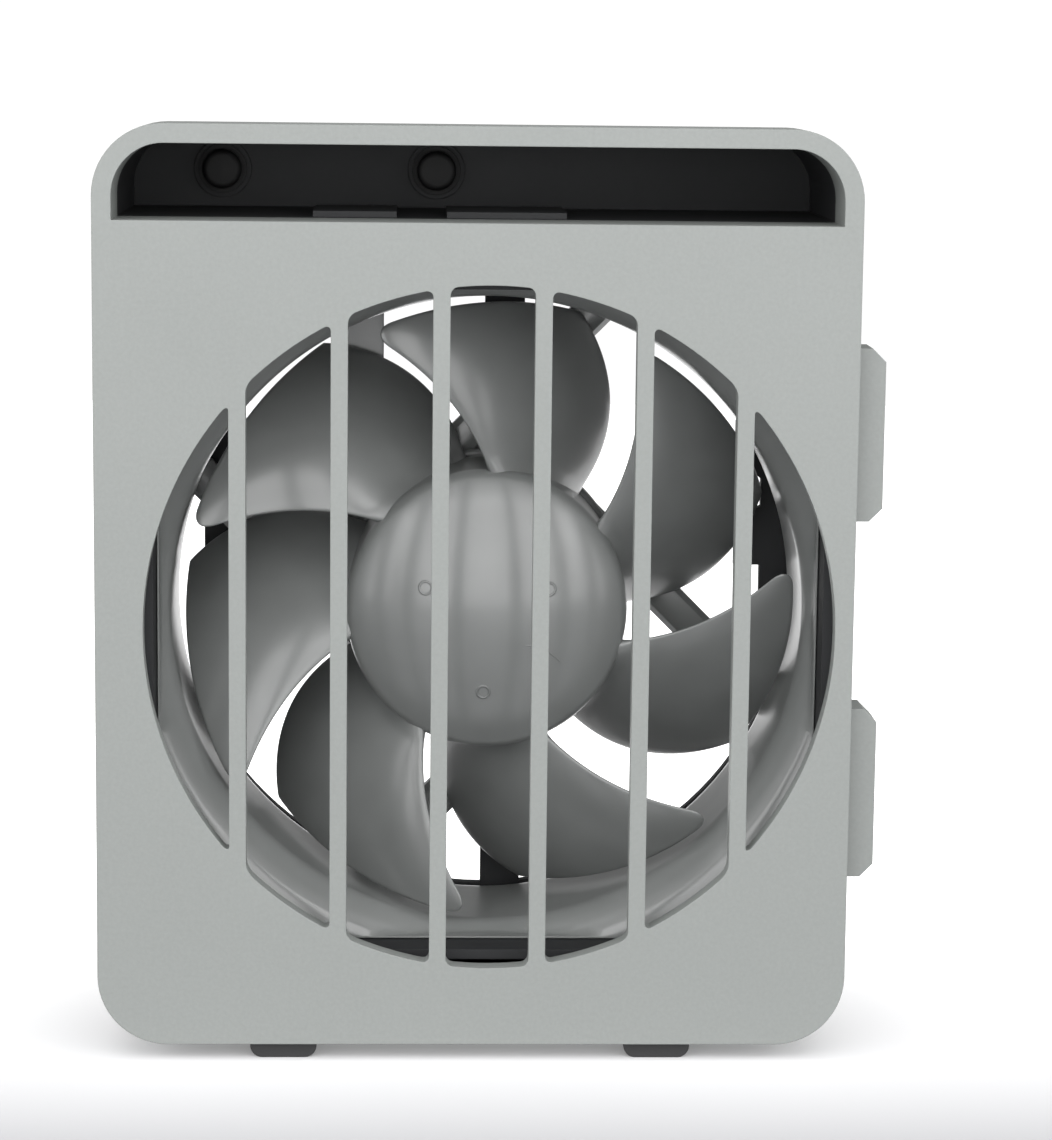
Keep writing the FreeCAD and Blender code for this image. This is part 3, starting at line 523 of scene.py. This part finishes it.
# ------------------------------------------------------------------ front shell
@dataclass
class FrontShell:
    """Grey face with its bars, finger slot, skirt and side hooks."""

    paint: Paintbox
    thickness: float = 3.6
    depth: float = 14.0
    corner: float = 12.6
    wall: float = 2.2
    rim: float = 3.4
    slot_floor: float = 72.3
    floor_thickness: float = 2.2
    opening: float = 61.5
    bars: int = 6
    pitch: float = 17.93
    bar: float = 3.0
    slot_end_round: float = 1.3
    tab_height: float = 31.0
    tab_centres: tuple = (35.1, -30.0)
    tab_proud: float = 5.2
    tab_front: float = 4.6
    tab_depth: float = 9.0
    tab_chamfer: float = 2.4
    tab_root: float = 1.5
    skirt_front: float = 0.6
    wall_step: float = 0.4
    plate_inset: float = 0.02

    def __post_init__(self) -> None:
        """Take the outline from the CAD node."""
        low, high = (DATUM.local(corner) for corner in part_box("front_shell"))
        self.left, self.bottom, self.top = low[0], low[2], high[2]
        self.right = high[0] - self.tab_proud
        self.slot_top = self.top - self.rim

    def bar_edges(self) -> np.ndarray:
        """Left and right edge of every bar, shape (bars, 2)."""
        centres = (np.arange(self.bars) - (self.bars - 1) / 2) * self.pitch
        return np.column_stack([centres - self.bar / 2, centres + self.bar / 2])

    def columns(self) -> np.ndarray:
        """Sorted x places: dense where an outline curves, with a column on every upright edge.

        Returns:
            Rising x places in millimetres.
        """
        turn = 1 - np.cos(np.linspace(0, math.pi / 2, 15))
        round_in = self.corner - self.rim
        places = [self.left + self.corner * turn, self.right - self.corner * turn,
                  self.left + self.rim + round_in * turn, self.right - self.rim - round_in * turn]
        places.append(-self.opening * np.cos(np.linspace(0, math.pi, 145)))
        edges = self.bar_edges()
        end_turn = 1 - np.cos(np.linspace(0, math.pi / 2, 7))
        for left, right in edges:
            places.append(left - self.slot_end_round * end_turn)
            places.append(right + self.slot_end_round * end_turn)
        every = np.unique(np.round(np.concatenate(places), 3))
        inside_bar = ((every[:, None] > edges[:, 0]) & (every[:, None] < edges[:, 1])).any(1)
        every = every[~inside_bar]
        ends = np.isin(every, np.round([-self.opening, self.opening], 3))
        keep = np.concatenate([[True], np.diff(every) > 0.02]) | ends
        crowded = np.concatenate([np.diff(every) < 0.02, [False]]) & np.roll(ends, -1)
        return every[keep & ~crowded]

    def edge_drop(self, span: np.ndarray, radius: float) -> np.ndarray:
        """How far a rounded corner has dropped at a distance span from its side."""
        inside = np.clip(radius - span, 0, radius)
        return radius - np.sqrt(radius ** 2 - inside ** 2)

    def levels(self, x: np.ndarray) -> np.ndarray:
        """Heights of the six level lines of the face at each column.

        The lines are the lower outline, the opening's lower and upper edge, the finger slot's
        floor and ceiling, and the upper outline.  A circle's edge is the root of the radius
        squared less x squared; a corner's is the same about the corner's own centre.

        Args:
            x: places of the columns.

        Returns:
            Heights of shape (6, columns), rising.
        """
        from_side = np.minimum(x - self.left, self.right - x)
        outline = self.edge_drop(from_side, self.corner)
        half = np.sqrt(np.clip(self.opening ** 2 - x ** 2, 0, None))
        edges = self.bar_edges()
        gap = np.min(np.abs(x[:, None, None] - edges[None]), axis=(1, 2))
        half = np.clip(half - self.edge_drop(gap, self.slot_end_round), 0, None)
        inner = self.corner - self.rim
        ceiling = self.slot_top - self.edge_drop(np.clip(from_side - self.rim, 0, None), inner)
        upper = self.top - outline
        return np.stack([self.bottom + outline, -half, half, np.full_like(x, self.slot_floor),
                         np.minimum(ceiling, upper), upper], 0)

    def face(self) -> bpy.types.Object:
        """Front plate as a grid of columns and level lines, given its thickness and rounded.

        The plate is drawn in by a hair, so that the skirt's walls cover its edge.

        Returns:
            The finished piece, not dressed yet.
        """
        x = self.columns()
        levels = self.levels(x)
        share = np.linspace(0, 1, 4)
        rows = [levels[0:1]]
        for lower, upper in zip(levels[:-1], levels[1:]):
            rows.append(lower + (upper - lower) * share[1:, None])
        heights = np.concatenate(rows)
        middle_x, middle_h = (self.left + self.right) / 2, (self.bottom + self.top) / 2
        shrink = 1 - 2 * self.plate_inset / (self.right - self.left)
        across = np.broadcast_to(middle_x + (x - middle_x) * shrink, heights.shape)
        points = np.stack([across, np.zeros_like(heights), middle_h + (heights - middle_h) * shrink], -1)
        quads = grid_quads(len(heights), len(x))
        row = np.repeat(np.arange(len(heights) - 1), len(x) - 1)
        middle = np.tile((x[:-1] + x[1:]) / 2, len(heights) - 1)
        edges = self.bar_edges()
        on_bar = ((middle[:, None] > edges[:, 0]) & (middle[:, None] < edges[:, 1])).any(1)
        in_opening = (row // 3 == 1) & ~on_bar
        in_slot = (row // 3 == 3) & (middle > self.left + self.rim) & (middle < self.right - self.rim)
        surface = Surface().add(points.reshape(-1, 3), quads[~(in_opening | in_slot)])
        piece = surface.piece("shell_face")
        self.face_forward(piece)
        plate = piece.modifiers.new("thickness", "SOLIDIFY")
        plate.thickness = self.thickness * MM
        plate.offset = -1
        return bevel(piece, 0.45, 3)

    def face_forward(self, piece: bpy.types.Object) -> None:
        """Turn the flat sheet's faces towards the front."""
        if piece.data.polygons[0].normal.y > 0:
            piece.data.flip_normals()

    def skirt(self) -> bpy.types.Object:
        """Wall behind the face: a rectangle carried round the outline, thicker beside the slot.

        Returns:
            The finished piece, not dressed yet.
        """
        outer = rounded_loop(self.left, self.right, self.bottom, self.top, self.corner, 14)
        split = self.slot_floor - self.floor_thickness
        step = split + self.wall_step
        extra = np.array([[self.right, split], [self.right, step]])
        position = int(np.argmax((outer[:, 0] > self.right - 1e-6) & (outer[:, 1] > 0)))
        outer = np.insert(outer, position, extra, axis=0)
        outer = np.concatenate([outer, [[self.left, step], [self.left, split]]])
        centre = np.clip(outer, [self.left + self.corner, self.bottom + self.corner],
                         [self.right - self.corner, self.top - self.corner])
        inward = centre - outer
        inward /= np.linalg.norm(inward, axis=1, keepdims=True)
        wall = np.where(outer[:, 1] > split + self.wall_step / 2, self.rim, self.wall)[:, None]
        inner = outer + inward * wall
        front = self.skirt_front
        loops = ((outer, front), (outer, self.depth), (inner, self.depth), (inner, front))
        rings = np.stack([np.column_stack([loop[:, 0], np.full(len(loop), back), loop[:, 1]])
                          for loop, back in loops])
        surface = Surface().lofted(rings, closed=True)
        floor = rounded_loop(self.left + self.wall, self.right - self.wall, split, self.slot_floor, 0.05, 1)
        surface.prism(floor, front, self.depth)
        for centre_height in self.tab_centres:
            surface.prism(self.tab_outline(centre_height), self.tab_front, self.tab_front + self.tab_depth)
        return bevel(surface.piece("shell_skirt"), 0.4, 2)

    def tab_outline(self, height: float) -> np.ndarray:
        """Chamfered outline of one side hook.

        Args:
            height: height of the hook's middle.

        Returns:
            Six (x, height) points.
        """
        low, high = height - self.tab_height / 2, height + self.tab_height / 2
        root, out, cut = self.right - self.tab_root, self.right + self.tab_proud, self.tab_chamfer
        return np.array([[root, low], [out - cut, low], [out, low + cut],
                         [out, high - cut], [out - cut, high], [root, high]])

    def build(self) -> None:
        """Make and finish the shell's pieces."""
        self.paint.dress(self.face(), "grey_shell", "housing", "front_shell")
        self.paint.dress(self.skirt(), "grey_shell", "housing", "front_shell")


# ------------------------------------------------------------------ fan frame
@dataclass
class FanFrame:
    """Square flanged frame with its flared duct, struts and motor base."""

    paint: Paintbox
    throat: float = 58.0
    flare_front: float = 63.5
    flare_rear: float = 60.6
    flare_length: float = 8.0
    flange: float = 4.2
    barrel_wall: float = 1.8
    corner: float = 6.0
    strut_width: float = 7.0
    strut_depth: float = 4.5
    strut_offset: float = 23.2
    base_radius: float = 27.0
    base_height: float = 5.1
    base_floor: float = 2.5
    base_wall: float = 1.8
    cover_centre: float = -23.2
    cover_width: float = 7.6
    cover_start: float = 12.0
    tube_hole: float = 8.1
    cap_recess: float = 0.6
    cap_rim: float = 3.0
    strut_nose: tuple = ((1.0, 0.0), (1.0, 0.62), (0.72, 0.9), (0.3, 1.0))

    def __post_init__(self) -> None:
        """Take the frame's place from the CAD node."""
        low, high = (DATUM.local(corner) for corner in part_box("fan_frame"))
        self.half = (high[0] - low[0]) / 2
        self.front, self.rear = low[1], high[1]

    def square_radius(self, angle: np.ndarray) -> np.ndarray:
        """Distance from the axis to the rounded square at an angle.

        On a flat it is half the side over the larger of cosine and sine; in a corner it is the
        far root of the corner circle met by the ray.

        Args:
            angle: angles about the axis, in radians.

        Returns:
            Distances of the same shape, in millimetres.
        """
        c, s = np.abs(np.cos(angle)), np.abs(np.sin(angle))
        flat = self.half / np.maximum(c, s)
        centre = self.half - self.corner
        along = centre * (c + s)
        root = np.sqrt(np.clip(along ** 2 - (2 * centre ** 2 - self.corner ** 2), 0, None))
        in_corner = (flat * np.minimum(c, s) > centre)
        return np.where(in_corner, along + root, flat)

    def shell(self) -> bpy.types.Object:
        """Duct, flanges and barrel: a closed profile carried round the axis.

        Each profile point has a share of the way from its own radius to the square's outline.

        Returns:
            The finished piece, not dressed yet.
        """
        angle = np.linspace(0, 2 * math.pi, 361)[:-1] + math.pi / 360
        square = self.square_radius(angle)
        share = np.linspace(0, 1, 9)
        front_curve = [(self.throat + (self.flare_front - self.throat) * (1 - s) ** 2,
                        self.front + s * self.flare_length) for s in share]
        rear_curve = [(self.throat + (self.flare_rear - self.throat) * s ** 2,
                       self.rear - (1 - s) * self.flare_length) for s in share]
        barrel = self.throat + self.barrel_wall
        rings = []
        for radius, back in front_curve + rear_curve:
            rings.append((np.minimum(radius, square - 0.35), back))
        for back in (self.rear, self.rear - self.flange):
            rings.append((square, back))
        for back in (self.rear - self.flange, self.front + self.flange):
            rings.append((np.minimum(barrel, square - 0.01), back))
        for back in (self.front + self.flange, self.front):
            rings.append((square, back))
        points = np.stack([np.stack([r * np.cos(angle), np.full_like(angle, back), r * np.sin(angle)], -1)
                           for r, back in rings])
        return Surface().lofted(points, closed=True).piece("frame_shell", 40)

    def spokes(self) -> bpy.types.Object:
        """Four tangential struts, the lead cover and the dished motor base.

        Returns:
            The finished piece, not dressed yet.
        """
        surface = Surface()
        reach = math.sqrt((self.throat + 1.0) ** 2 - self.strut_offset ** 2)
        half = self.strut_width / 2
        one_side = np.array(self.strut_nose)
        nose = np.concatenate([one_side * [-1, 1], one_side[::-1]])
        section = np.column_stack([self.strut_offset + nose[:, 0] * half,
                                   self.rear - nose[:, 1] * self.strut_depth])
        for turn in np.radians((-45, 45, 135, 225)):
            rings = []
            for along in np.linspace(-2, reach, 8):
                x = along * np.cos(turn) - section[:, 0] * np.sin(turn)
                h = along * np.sin(turn) + section[:, 0] * np.cos(turn)
                rings.append(np.column_stack([x, section[:, 1], h]))
            surface.lofted(np.stack(rings))
        top = math.sqrt((self.throat + 1.0) ** 2 - self.cover_centre ** 2)
        cover = self.cover_width / 2
        start = self.cover_start
        outline = np.array([[self.cover_centre - cover, start], [self.cover_centre + cover, start],
                            [self.cover_centre + cover, top], [self.cover_centre - cover, top]])
        surface.prism(outline, self.rear - self.strut_depth, self.rear)
        r, w, front = self.base_radius, self.base_wall, self.rear - self.base_height
        floor, seat = self.rear - self.base_floor, self.rear - self.cap_recess
        surface.turned([(self.tube_hole, floor), (r - w, floor), (r - w, front + 0.3), (r - w + 0.3, front),
                        (r - 0.5, front), (r, front + 0.5), (r, self.rear - 0.4), (r - 0.4, self.rear),
                        (r - self.cap_rim, self.rear), (r - self.cap_rim, seat), (self.tube_hole, seat)])
        return bevel(surface.piece("frame_spokes", 30), 0.35, 2)

    def build(self) -> None:
        """Make and finish the frame's pieces."""
        self.paint.dress(self.shell(), "frame_plastic", "housing", "fan_frame")
        self.paint.dress(self.spokes(), "frame_plastic", "housing", "fan_frame")


# ------------------------------------------------------------------ impeller
@dataclass
class Impeller:
    """Domed hub with seven forward-swept blades."""

    paint: Paintbox
    blades: int = 7
    hub: float = 26.0
    wall: float = 2.0
    nose: float = 16.4
    shoulder: float = 24.6
    hub_rear: float = 45.6
    shoulder_round: float = 3.2
    tip: float = 56.3
    root_front: float = 24.9
    tip_front: float = 17.0
    rear: float = 46.3
    root_thickness: float = 2.3
    tip_thickness: float = 1.5
    corner_start: float = 52.1
    corner_sweep: float = 5.0
    camber: float = 0.38
    lead_angle: float = 89.8
    lead_sweep: float = 0.785
    trail_angle: float = 47.5
    trail_sweep: float = 0.24
    trail_bend: float = 0.0184
    root_swell: float = 1.1
    root_swell_reach: float = 0.9
    tip_close_share: float = 0.025
    section_power: float = 0.7
    mark_places: tuple = ((-11.4, 5.0), (11.2, 4.9), (-0.7, -14.4))
    mark_radius: float = 1.15
    mark_ridge: float = 0.2
    line_ends: tuple = ((6.4, -5.4), (13.7, -9.0))
    line_ridge: float = 0.12

    def nose_curve(self, inset: float) -> np.ndarray:
        """(radius, back) points of a spherical cap run into a straight side by a small arc.

        Args:
            inset: how far the curve lies inside the outer one.

        Returns:
            Points of shape (n, 2), from the axis outwards.
        """
        rise = self.shoulder - self.nose
        dome = (self.hub ** 2 + rise ** 2) / (2 * rise)
        centre = self.nose + dome
        arc = max(self.shoulder_round - inset, 0.4)
        side = self.hub - inset
        arc_x = side - arc
        arc_back = centre - math.sqrt((dome - inset - arc) ** 2 - arc_x ** 2)
        meet = math.atan2(arc_x, centre - arc_back)
        cap = np.linspace(0, meet, 25)
        bend = np.linspace(meet, math.pi / 2, 13)[1:]
        cap_points = np.column_stack([(dome - inset) * np.sin(cap), centre - (dome - inset) * np.cos(cap)])
        bend_points = np.column_stack([arc_x + arc * np.sin(bend), arc_back - arc * np.cos(bend)])
        return np.concatenate([cap_points, bend_points])

    def add_hub(self, surface: Surface) -> None:
        """Thin domed hub, open behind.

        Args:
            surface: the surface it is added to.
        """
        outer, inner = self.nose_curve(0.0), self.nose_curve(self.wall)
        rear = np.array([[self.hub, self.hub_rear - 0.3], [self.hub - 0.3, self.hub_rear],
                         [self.hub - self.wall, self.hub_rear]])
        surface.turned(np.concatenate([outer, rear, inner[::-1]]), 144)

    def dome_back(self, x: np.ndarray, height: np.ndarray) -> np.ndarray:
        """Depth of the dome at a place.

        It is the depth of the sphere's centre less the root of its radius squared, less x squared
        and height squared.

        Args:
            x: places across the face.
            height: heights above the axis.

        Returns:
            Depths behind the front face, of the same shape.
        """
        rise = self.shoulder - self.nose
        dome = (self.hub ** 2 + rise ** 2) / (2 * rise)
        return self.nose + dome - np.sqrt(dome ** 2 - x ** 2 - height ** 2)

    def add_marks(self, surface: Surface) -> None:
        """Three ring marks left by the mould's ejector pins on the dome: small rings sunk by half.

        Args:
            surface: the surface it is added to.
        """
        turn = np.linspace(0, 2 * math.pi, 41)[:-1]
        section = np.linspace(0, 2 * math.pi, 13)[:-1]
        around, bead = np.meshgrid(turn, section, indexing="ij")
        for centre_x, centre_height in self.mark_places:
            radius = self.mark_radius + self.mark_ridge * np.cos(bead)
            x = centre_x + radius * np.cos(around)
            height = centre_height + radius * np.sin(around)
            back = self.dome_back(x, height) - self.mark_ridge * np.sin(bead)
            surface.add(np.stack([x, back, height], -1), grid_quads(len(turn), len(section), True, True))

    def add_line(self, surface: Surface) -> None:
        """Weld line on the dome: a bead along a bowed path, thinning towards both ends.

        Args:
            surface: the surface it is added to.
        """
        share, bead = np.meshgrid(np.linspace(0, 1, 33), np.linspace(0, 2 * math.pi, 9)[:-1], indexing="ij")
        (x0, h0), (x1, h1) = self.line_ends
        size = self.line_ridge * np.sqrt(np.clip(np.sin(math.pi * share), 0.02, 1))
        bow = np.sin(math.pi * share)
        x = x0 + (x1 - x0) * share
        height = h0 + (h1 - h0) * share + bow + size * np.cos(bead)
        back = self.dome_back(x, height) - size * np.sin(bead)
        surface.lofted(np.stack([x, back, height], -1))

    def lead(self, radius: np.ndarray) -> np.ndarray:
        """Angle of the leading edge in degrees, before its tip corner is rounded."""
        return self.lead_angle + self.lead_sweep * (radius - self.hub)

    def trail(self, radius: np.ndarray) -> np.ndarray:
        """Angle of the trailing edge in degrees."""
        reach = radius - self.hub
        return self.trail_angle + self.trail_sweep * reach + self.trail_bend * reach ** 2

    def middle(self, radius: np.ndarray, chord: np.ndarray) -> np.ndarray:
        """Middle surface of a blade.

        The angle runs from the leading to the trailing edge with the chord share.  The leading
        edge leans forward in a straight line from root to tip, and depth grows from it to the
        trailing edge with the chord share and, for the camber, with its square.

        Args:
            radius: distances from the axis.
            chord: shares of the chord, 0 at the leading edge.

        Returns:
            Places of shape (..., 3).
        """
        angle = np.radians(self.lead(radius) * (1 - chord) + self.trail(radius) * chord)
        lean = (radius - self.hub) / (self.tip - self.hub)
        front = self.root_front + (self.tip_front - self.root_front) * lean
        sunk = (1 - self.camber) * chord + self.camber * chord ** 2
        back = front + (self.rear - front) * sunk
        return np.stack([radius * np.cos(angle), back, radius * np.sin(angle)], -1)

    def normal(self, radius: np.ndarray, chord: np.ndarray) -> np.ndarray:
        """Unit normal of the middle surface, from differences along and across the chord.

        Args:
            radius: distances from the axis.
            chord: shares of the chord, 0 at the leading edge.

        Returns:
            Unit vectors of shape (..., 3).
        """
        step = 0.005
        along = self.middle(radius, chord + step) - self.middle(radius, chord - step)
        out = self.middle(radius + step, chord) - self.middle(radius - step, chord)
        normal = np.cross(along, out)
        return normal / np.linalg.norm(normal, axis=-1, keepdims=True)

    def add_blade(self, surface: Surface, turn: float) -> None:
        """One blade: a lens-shaped section carried outwards along the middle surface.

        The section's angle w gives chord share (1 - cos w) / 2 and thickness sin w, so both
        edges are round.  The tip's leading corner is a quarter ellipse, taken off the chord.
        The thickness swells at the root and closes over the last of the span.

        Args:
            surface: mesh under construction.
            turn: place of the blade round the axis, in radians.
        """
        root = self.hub - self.wall / 2
        share = np.concatenate([np.sin(np.linspace(0, 1.36, 34)), 1 - np.geomspace(0.02, 0.0004, 9), [1.0]])
        section = np.linspace(0, 2 * math.pi, 73)[:-1]
        share, section = np.meshgrid(share, section, indexing="ij")
        radius = root + (self.tip - root) * share
        late = np.clip((radius - self.corner_start) / (self.tip - self.corner_start), 0, 1)
        swept = self.corner_sweep * (1 - np.sqrt(np.clip(1 - late ** 2, 0, None)))
        start = swept / (self.lead(radius) - self.trail(radius))
        chord = start + (1 - start) * (1 - np.cos(section)) / 2
        full = self.root_thickness + (self.tip_thickness - self.root_thickness) * share
        swell = 1 + self.root_swell * np.exp(-np.clip(radius - self.hub, 0, None) / self.root_swell_reach)
        last = np.clip(1 - (1 - share) / self.tip_close_share, 0, 1)
        close = np.sqrt(np.clip(1 - last ** 2, 0, None))
        profile = np.sign(np.sin(section)) * np.abs(np.sin(section)) ** self.section_power
        offset = (full * swell * close * profile / 2)[..., None]
        point = self.middle(radius, chord) + self.normal(radius, chord) * offset
        c, s = math.cos(turn), math.sin(turn)
        x, back, height = point[..., 0], point[..., 1], point[..., 2]
        turned = np.stack([x * c - height * s, back, x * s + height * c], -1)
        faces = list(grid_quads(*share.shape, False, True))
        faces.append(np.arange(share.shape[1]))
        surface.add(turned, faces)

    def build(self) -> None:
        """Make the hub and blades and hang them on the rotor."""
        hub = Surface()
        self.add_hub(hub)
        self.add_marks(hub)
        self.add_line(hub)
        self.paint.dress(hub.piece("impeller_hub", 35), "impeller_plastic", "rotor", "impeller")
        blades = Surface()
        for index in range(self.blades):
            self.add_blade(blades, 2 * math.pi * index / self.blades)
        self.paint.dress(blades.piece("impeller_blades", 60), "impeller_plastic", "rotor", "impeller")


# ------------------------------------------------------------------ screws
@dataclass
class MountingScrews:
    """Two black pan-head screws with a plain neck and a real thread."""

    paint: Paintbox
    radius: float = 2.0
    pitch: float = 0.7
    thread_depth: float = 0.36
    head_radius: float = 3.7
    head_height: float = 2.6
    centres: tuple = (-50.0, -9.6)
    height: float = 79.4
    neck_radius: float = 1.7
    thread_length: float = 6.8
    lead_in: float = 0.9
    point_drop: float = 0.45
    shoulder: float = 1.1
    crown: float = 0.15

    def __post_init__(self) -> None:
        """Take the screws' span from the CAD node."""
        low, high = (DATUM.local(corner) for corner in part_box("mounting_screws"))
        self.front, self.tip = low[1], high[1]

    def add_neck(self, surface: Surface, x: float) -> None:
        """Plain neck between the head and the thread.

        Args:
            surface: the surface it is added to.
            x: place of the screw's axis across the face.
        """
        start = self.front + self.head_height - 0.3
        end = self.tip - self.thread_length + 0.3
        profile = [(0.0, start), (self.neck_radius, start), (self.neck_radius, end), (0.0, end)]
        surface.turned(profile, 48, (x, self.height))

    def add_thread(self, surface: Surface, x: float) -> None:
        """Thread: the radius falls with a triangle wave of depth less turn over pitch.

        The last of the length tapers to the point.

        Args:
            surface: the surface it is added to.
            x: place of the screw's axis across the face.
        """
        start = self.tip - self.thread_length
        length = self.thread_length
        along = np.linspace(0, length, int(length / self.pitch * 12) + 1)
        turn = np.linspace(0, 2 * math.pi, 49)[:-1]
        along, turn = np.meshgrid(along, turn, indexing="ij")
        phase = (along / self.pitch - turn / (2 * math.pi)) % 1.0
        tooth = np.clip(np.abs(phase * 2 - 1) * 1.15 - 0.075, 0, 1)
        taper = 1 - np.clip((length - along) / self.lead_in, 0, 1)
        radius = self.radius - self.thread_depth * tooth - taper * self.point_drop
        points = np.stack([x + radius * np.cos(turn), start + along, self.height + radius * np.sin(turn)], -1)
        surface.lofted(points)

    def add_head(self, surface: Surface, x: float) -> None:
        """Pan head: a low dome with a rounded shoulder.

        Args:
            surface: the surface it is added to.
            x: place of the screw's axis across the face.
        """
        r, f, h = self.head_radius, self.front, self.head_height
        bend = np.linspace(0, math.pi / 2, 9)
        s, c = self.shoulder, self.crown
        shoulder = np.column_stack([r - s + s * np.sin(bend), f + c + s - s * np.cos(bend)])
        crown = np.column_stack([np.linspace(0, r - s, 8)[:-1], np.linspace(f, f + c, 8)[:-1]])
        rim = np.array([[r, f + h - c], [r - c, f + h], [0.0, f + h]])
        surface.turned(np.concatenate([crown, shoulder, rim]), 64, (x, self.height))

    def build(self) -> None:
        """Make both screws as one piece."""
        surface = Surface()
        for x in self.centres:
            self.add_neck(surface, x)
            self.add_thread(surface, x)
            self.add_head(surface, x)
        piece = surface.piece("mounting_screw_pair", 32)
        self.paint.dress(piece, "black_screw", "housing", "mounting_screws")


# ------------------------------------------------------------------ studio
@dataclass
class Studio:
    """Pale floor with painted shade in front and a painted glow behind, soft lights and the camera."""

    distance: float = 591.4
    camera_left: float = 15.6
    camera_rise: float = 103.3
    pan: float = 2.115
    tilt: float = 8.842
    roll: float = 0.651
    lens: float = 106.8
    sensor: float = 36.0
    # painted shade: the floor's colour in front, darker where the object's shade falls; behind, it turns to
    # the far colour and a painted glow
    near_painted_shade: str = "#A4A4A6"
    far_paper: str = "#FAFAFA"
    floor_half: float = 1.1
    near_edge: float = -0.08
    far_edge: float = 0.12
    surround: float = 0.30
    far_glow: float = 0.7
    backdrop: float = 1.05

    def camera(self) -> None:
        """Camera set by its place before the face and its pan, tilt and roll in degrees."""
        data = bpy.data.cameras.new("camera")
        data.lens = self.lens
        data.sensor_width = self.sensor
        data.clip_start = 0.01
        data.clip_end = 50.0
        camera = bpy.data.objects.new("camera", data)
        bpy.context.scene.collection.objects.link(camera)
        place = DATUM.world([[-self.camera_left, -self.distance, self.camera_rise]])[0]
        turn = (Matrix.Rotation(math.radians(-self.pan), 4, "Z")
                @ Matrix.Rotation(math.radians(90 - self.tilt), 4, "X")
                @ Matrix.Rotation(math.radians(self.roll), 4, "Z"))
        camera.matrix_world = Matrix.Translation(place) @ turn
        bpy.context.scene.camera = camera

    def floor(self) -> None:
        """Large pale sweep under the feet. Its colour is a painted shade: darker in front, towards the
        camera, and whiter behind, where it also glows as painted light.
        """
        steps = 40
        line = np.linspace(-self.floor_half, self.floor_half, steps)
        x, y = np.meshgrid(line, line, indexing="ij")
        mesh = bpy.data.meshes.new("floor")
        points = np.stack([x, y, np.full_like(x, CAD_BOX[0].z)], -1).reshape(-1, 3)
        mesh.from_pydata(points, [], grid_quads(steps, steps)[:, ::-1].tolist())
        obj = bpy.data.objects.new("floor", mesh)
        bpy.context.scene.collection.objects.link(obj)
        material = bpy.data.materials.new("floor_painted_shade_and_glow")
        material.use_nodes = True
        tree = material.node_tree
        shader = tree.nodes["Principled BSDF"]
        place = add_node(tree, "ShaderNodeTexCoord").outputs["Object"]
        depth = add_node(tree, "ShaderNodeSeparateXYZ", links={"Vector": place}).outputs["Y"]
        away = add_node(tree, "ShaderNodeMapRange", {"From Min": self.near_edge, "From Max": self.far_edge},
                        {"Value": depth})
        # painted shade: the colour darkens from the far paper to the near one towards the front
        tone = add_node(tree, "ShaderNodeMix", {"data_type": "RGBA", 6: linear(self.near_painted_shade),
                                                7: linear(self.far_paper)}, {0: away.outputs["Result"]})
        # painted light: the floor behind the object glows, though it is no lamp
        glow = add_node(tree, "ShaderNodeMapRange", {"From Min": self.near_edge, "From Max": self.far_edge,
                                                     "To Max": self.far_glow}, {"Value": depth})
        tree.links.new(tone.outputs[2], shader.inputs["Base Color"])
        tree.links.new(glow.outputs["Result"], shader.inputs["Emission Strength"])
        shader.inputs["Emission Color"].default_value = (1, 1, 1, 1)
        shader.inputs["Roughness"].default_value = 0.9
        mesh.materials.append(material)

    def area(self, name: str, place: tuple, aim: tuple, size: tuple, watts: float) -> None:
        """One rectangular soft light.

        Args:
            name: light name.
            place: position in metres.
            aim: point it faces.
            size: width and height in metres.
            watts: power.
        """
        data = bpy.data.lights.new(name, "AREA")
        data.shape = "RECTANGLE"
        data.size, data.size_y = size
        data.energy = watts
        lamp = bpy.data.objects.new(name, data)
        bpy.context.scene.collection.objects.link(lamp)
        lamp.location = place
        lamp.rotation_euler = (Vector(aim) - Vector(place)).to_track_quat("-Z", "Y").to_euler()

    def lights(self) -> None:
        """White surround with a broad soft panel in front, and smaller ones above and at both sides."""
        world = bpy.data.worlds.new("surround")
        world.use_nodes = True
        tree = world.node_tree
        seen = add_node(tree, "ShaderNodeLightPath").outputs["Is Camera Ray"]
        strength = add_node(tree, "ShaderNodeMapRange",
                            {"To Min": self.surround, "To Max": self.backdrop}, {"Value": seen})
        tree.links.new(strength.outputs["Result"], tree.nodes["Background"].inputs["Strength"])
        tree.nodes["Background"].inputs["Color"].default_value = (1, 1, 1, 1)
        bpy.context.scene.world = world
        middle = (0.0, 0.0, 0.08)
        self.area("overhead", (0.0, -0.35, 1.1), middle, (1.6, 1.1), 11.0)
        self.area("front", (0.05, -1.15, 0.36), middle, (2.3, 1.7), 43.0)
        self.area("left_side", (-1.15, -0.45, 0.35), middle, (1.1, 1.3), 17.0)
        self.area("right_side", (1.15, -0.45, 0.35), middle, (1.1, 1.3), 15.0)
        bpy.context.scene.view_settings.view_transform = "Standard"

    def build(self) -> None:
        """Set the whole studio."""
        self.camera()
        self.floor()
        self.lights()


def main() -> None:
    """Build the studio and every sub-assembly in order."""
    logging.basicConfig(level=logging.INFO, format="%(name)s %(message)s")
    Studio().build()
    paint = Paintbox()
    paint.dress_nodes()
    FrontShell(paint).build()
    FanFrame(paint).build()
    Impeller(paint).build()
    MountingScrews(paint).build()


if __name__ == "__main__":
    main()
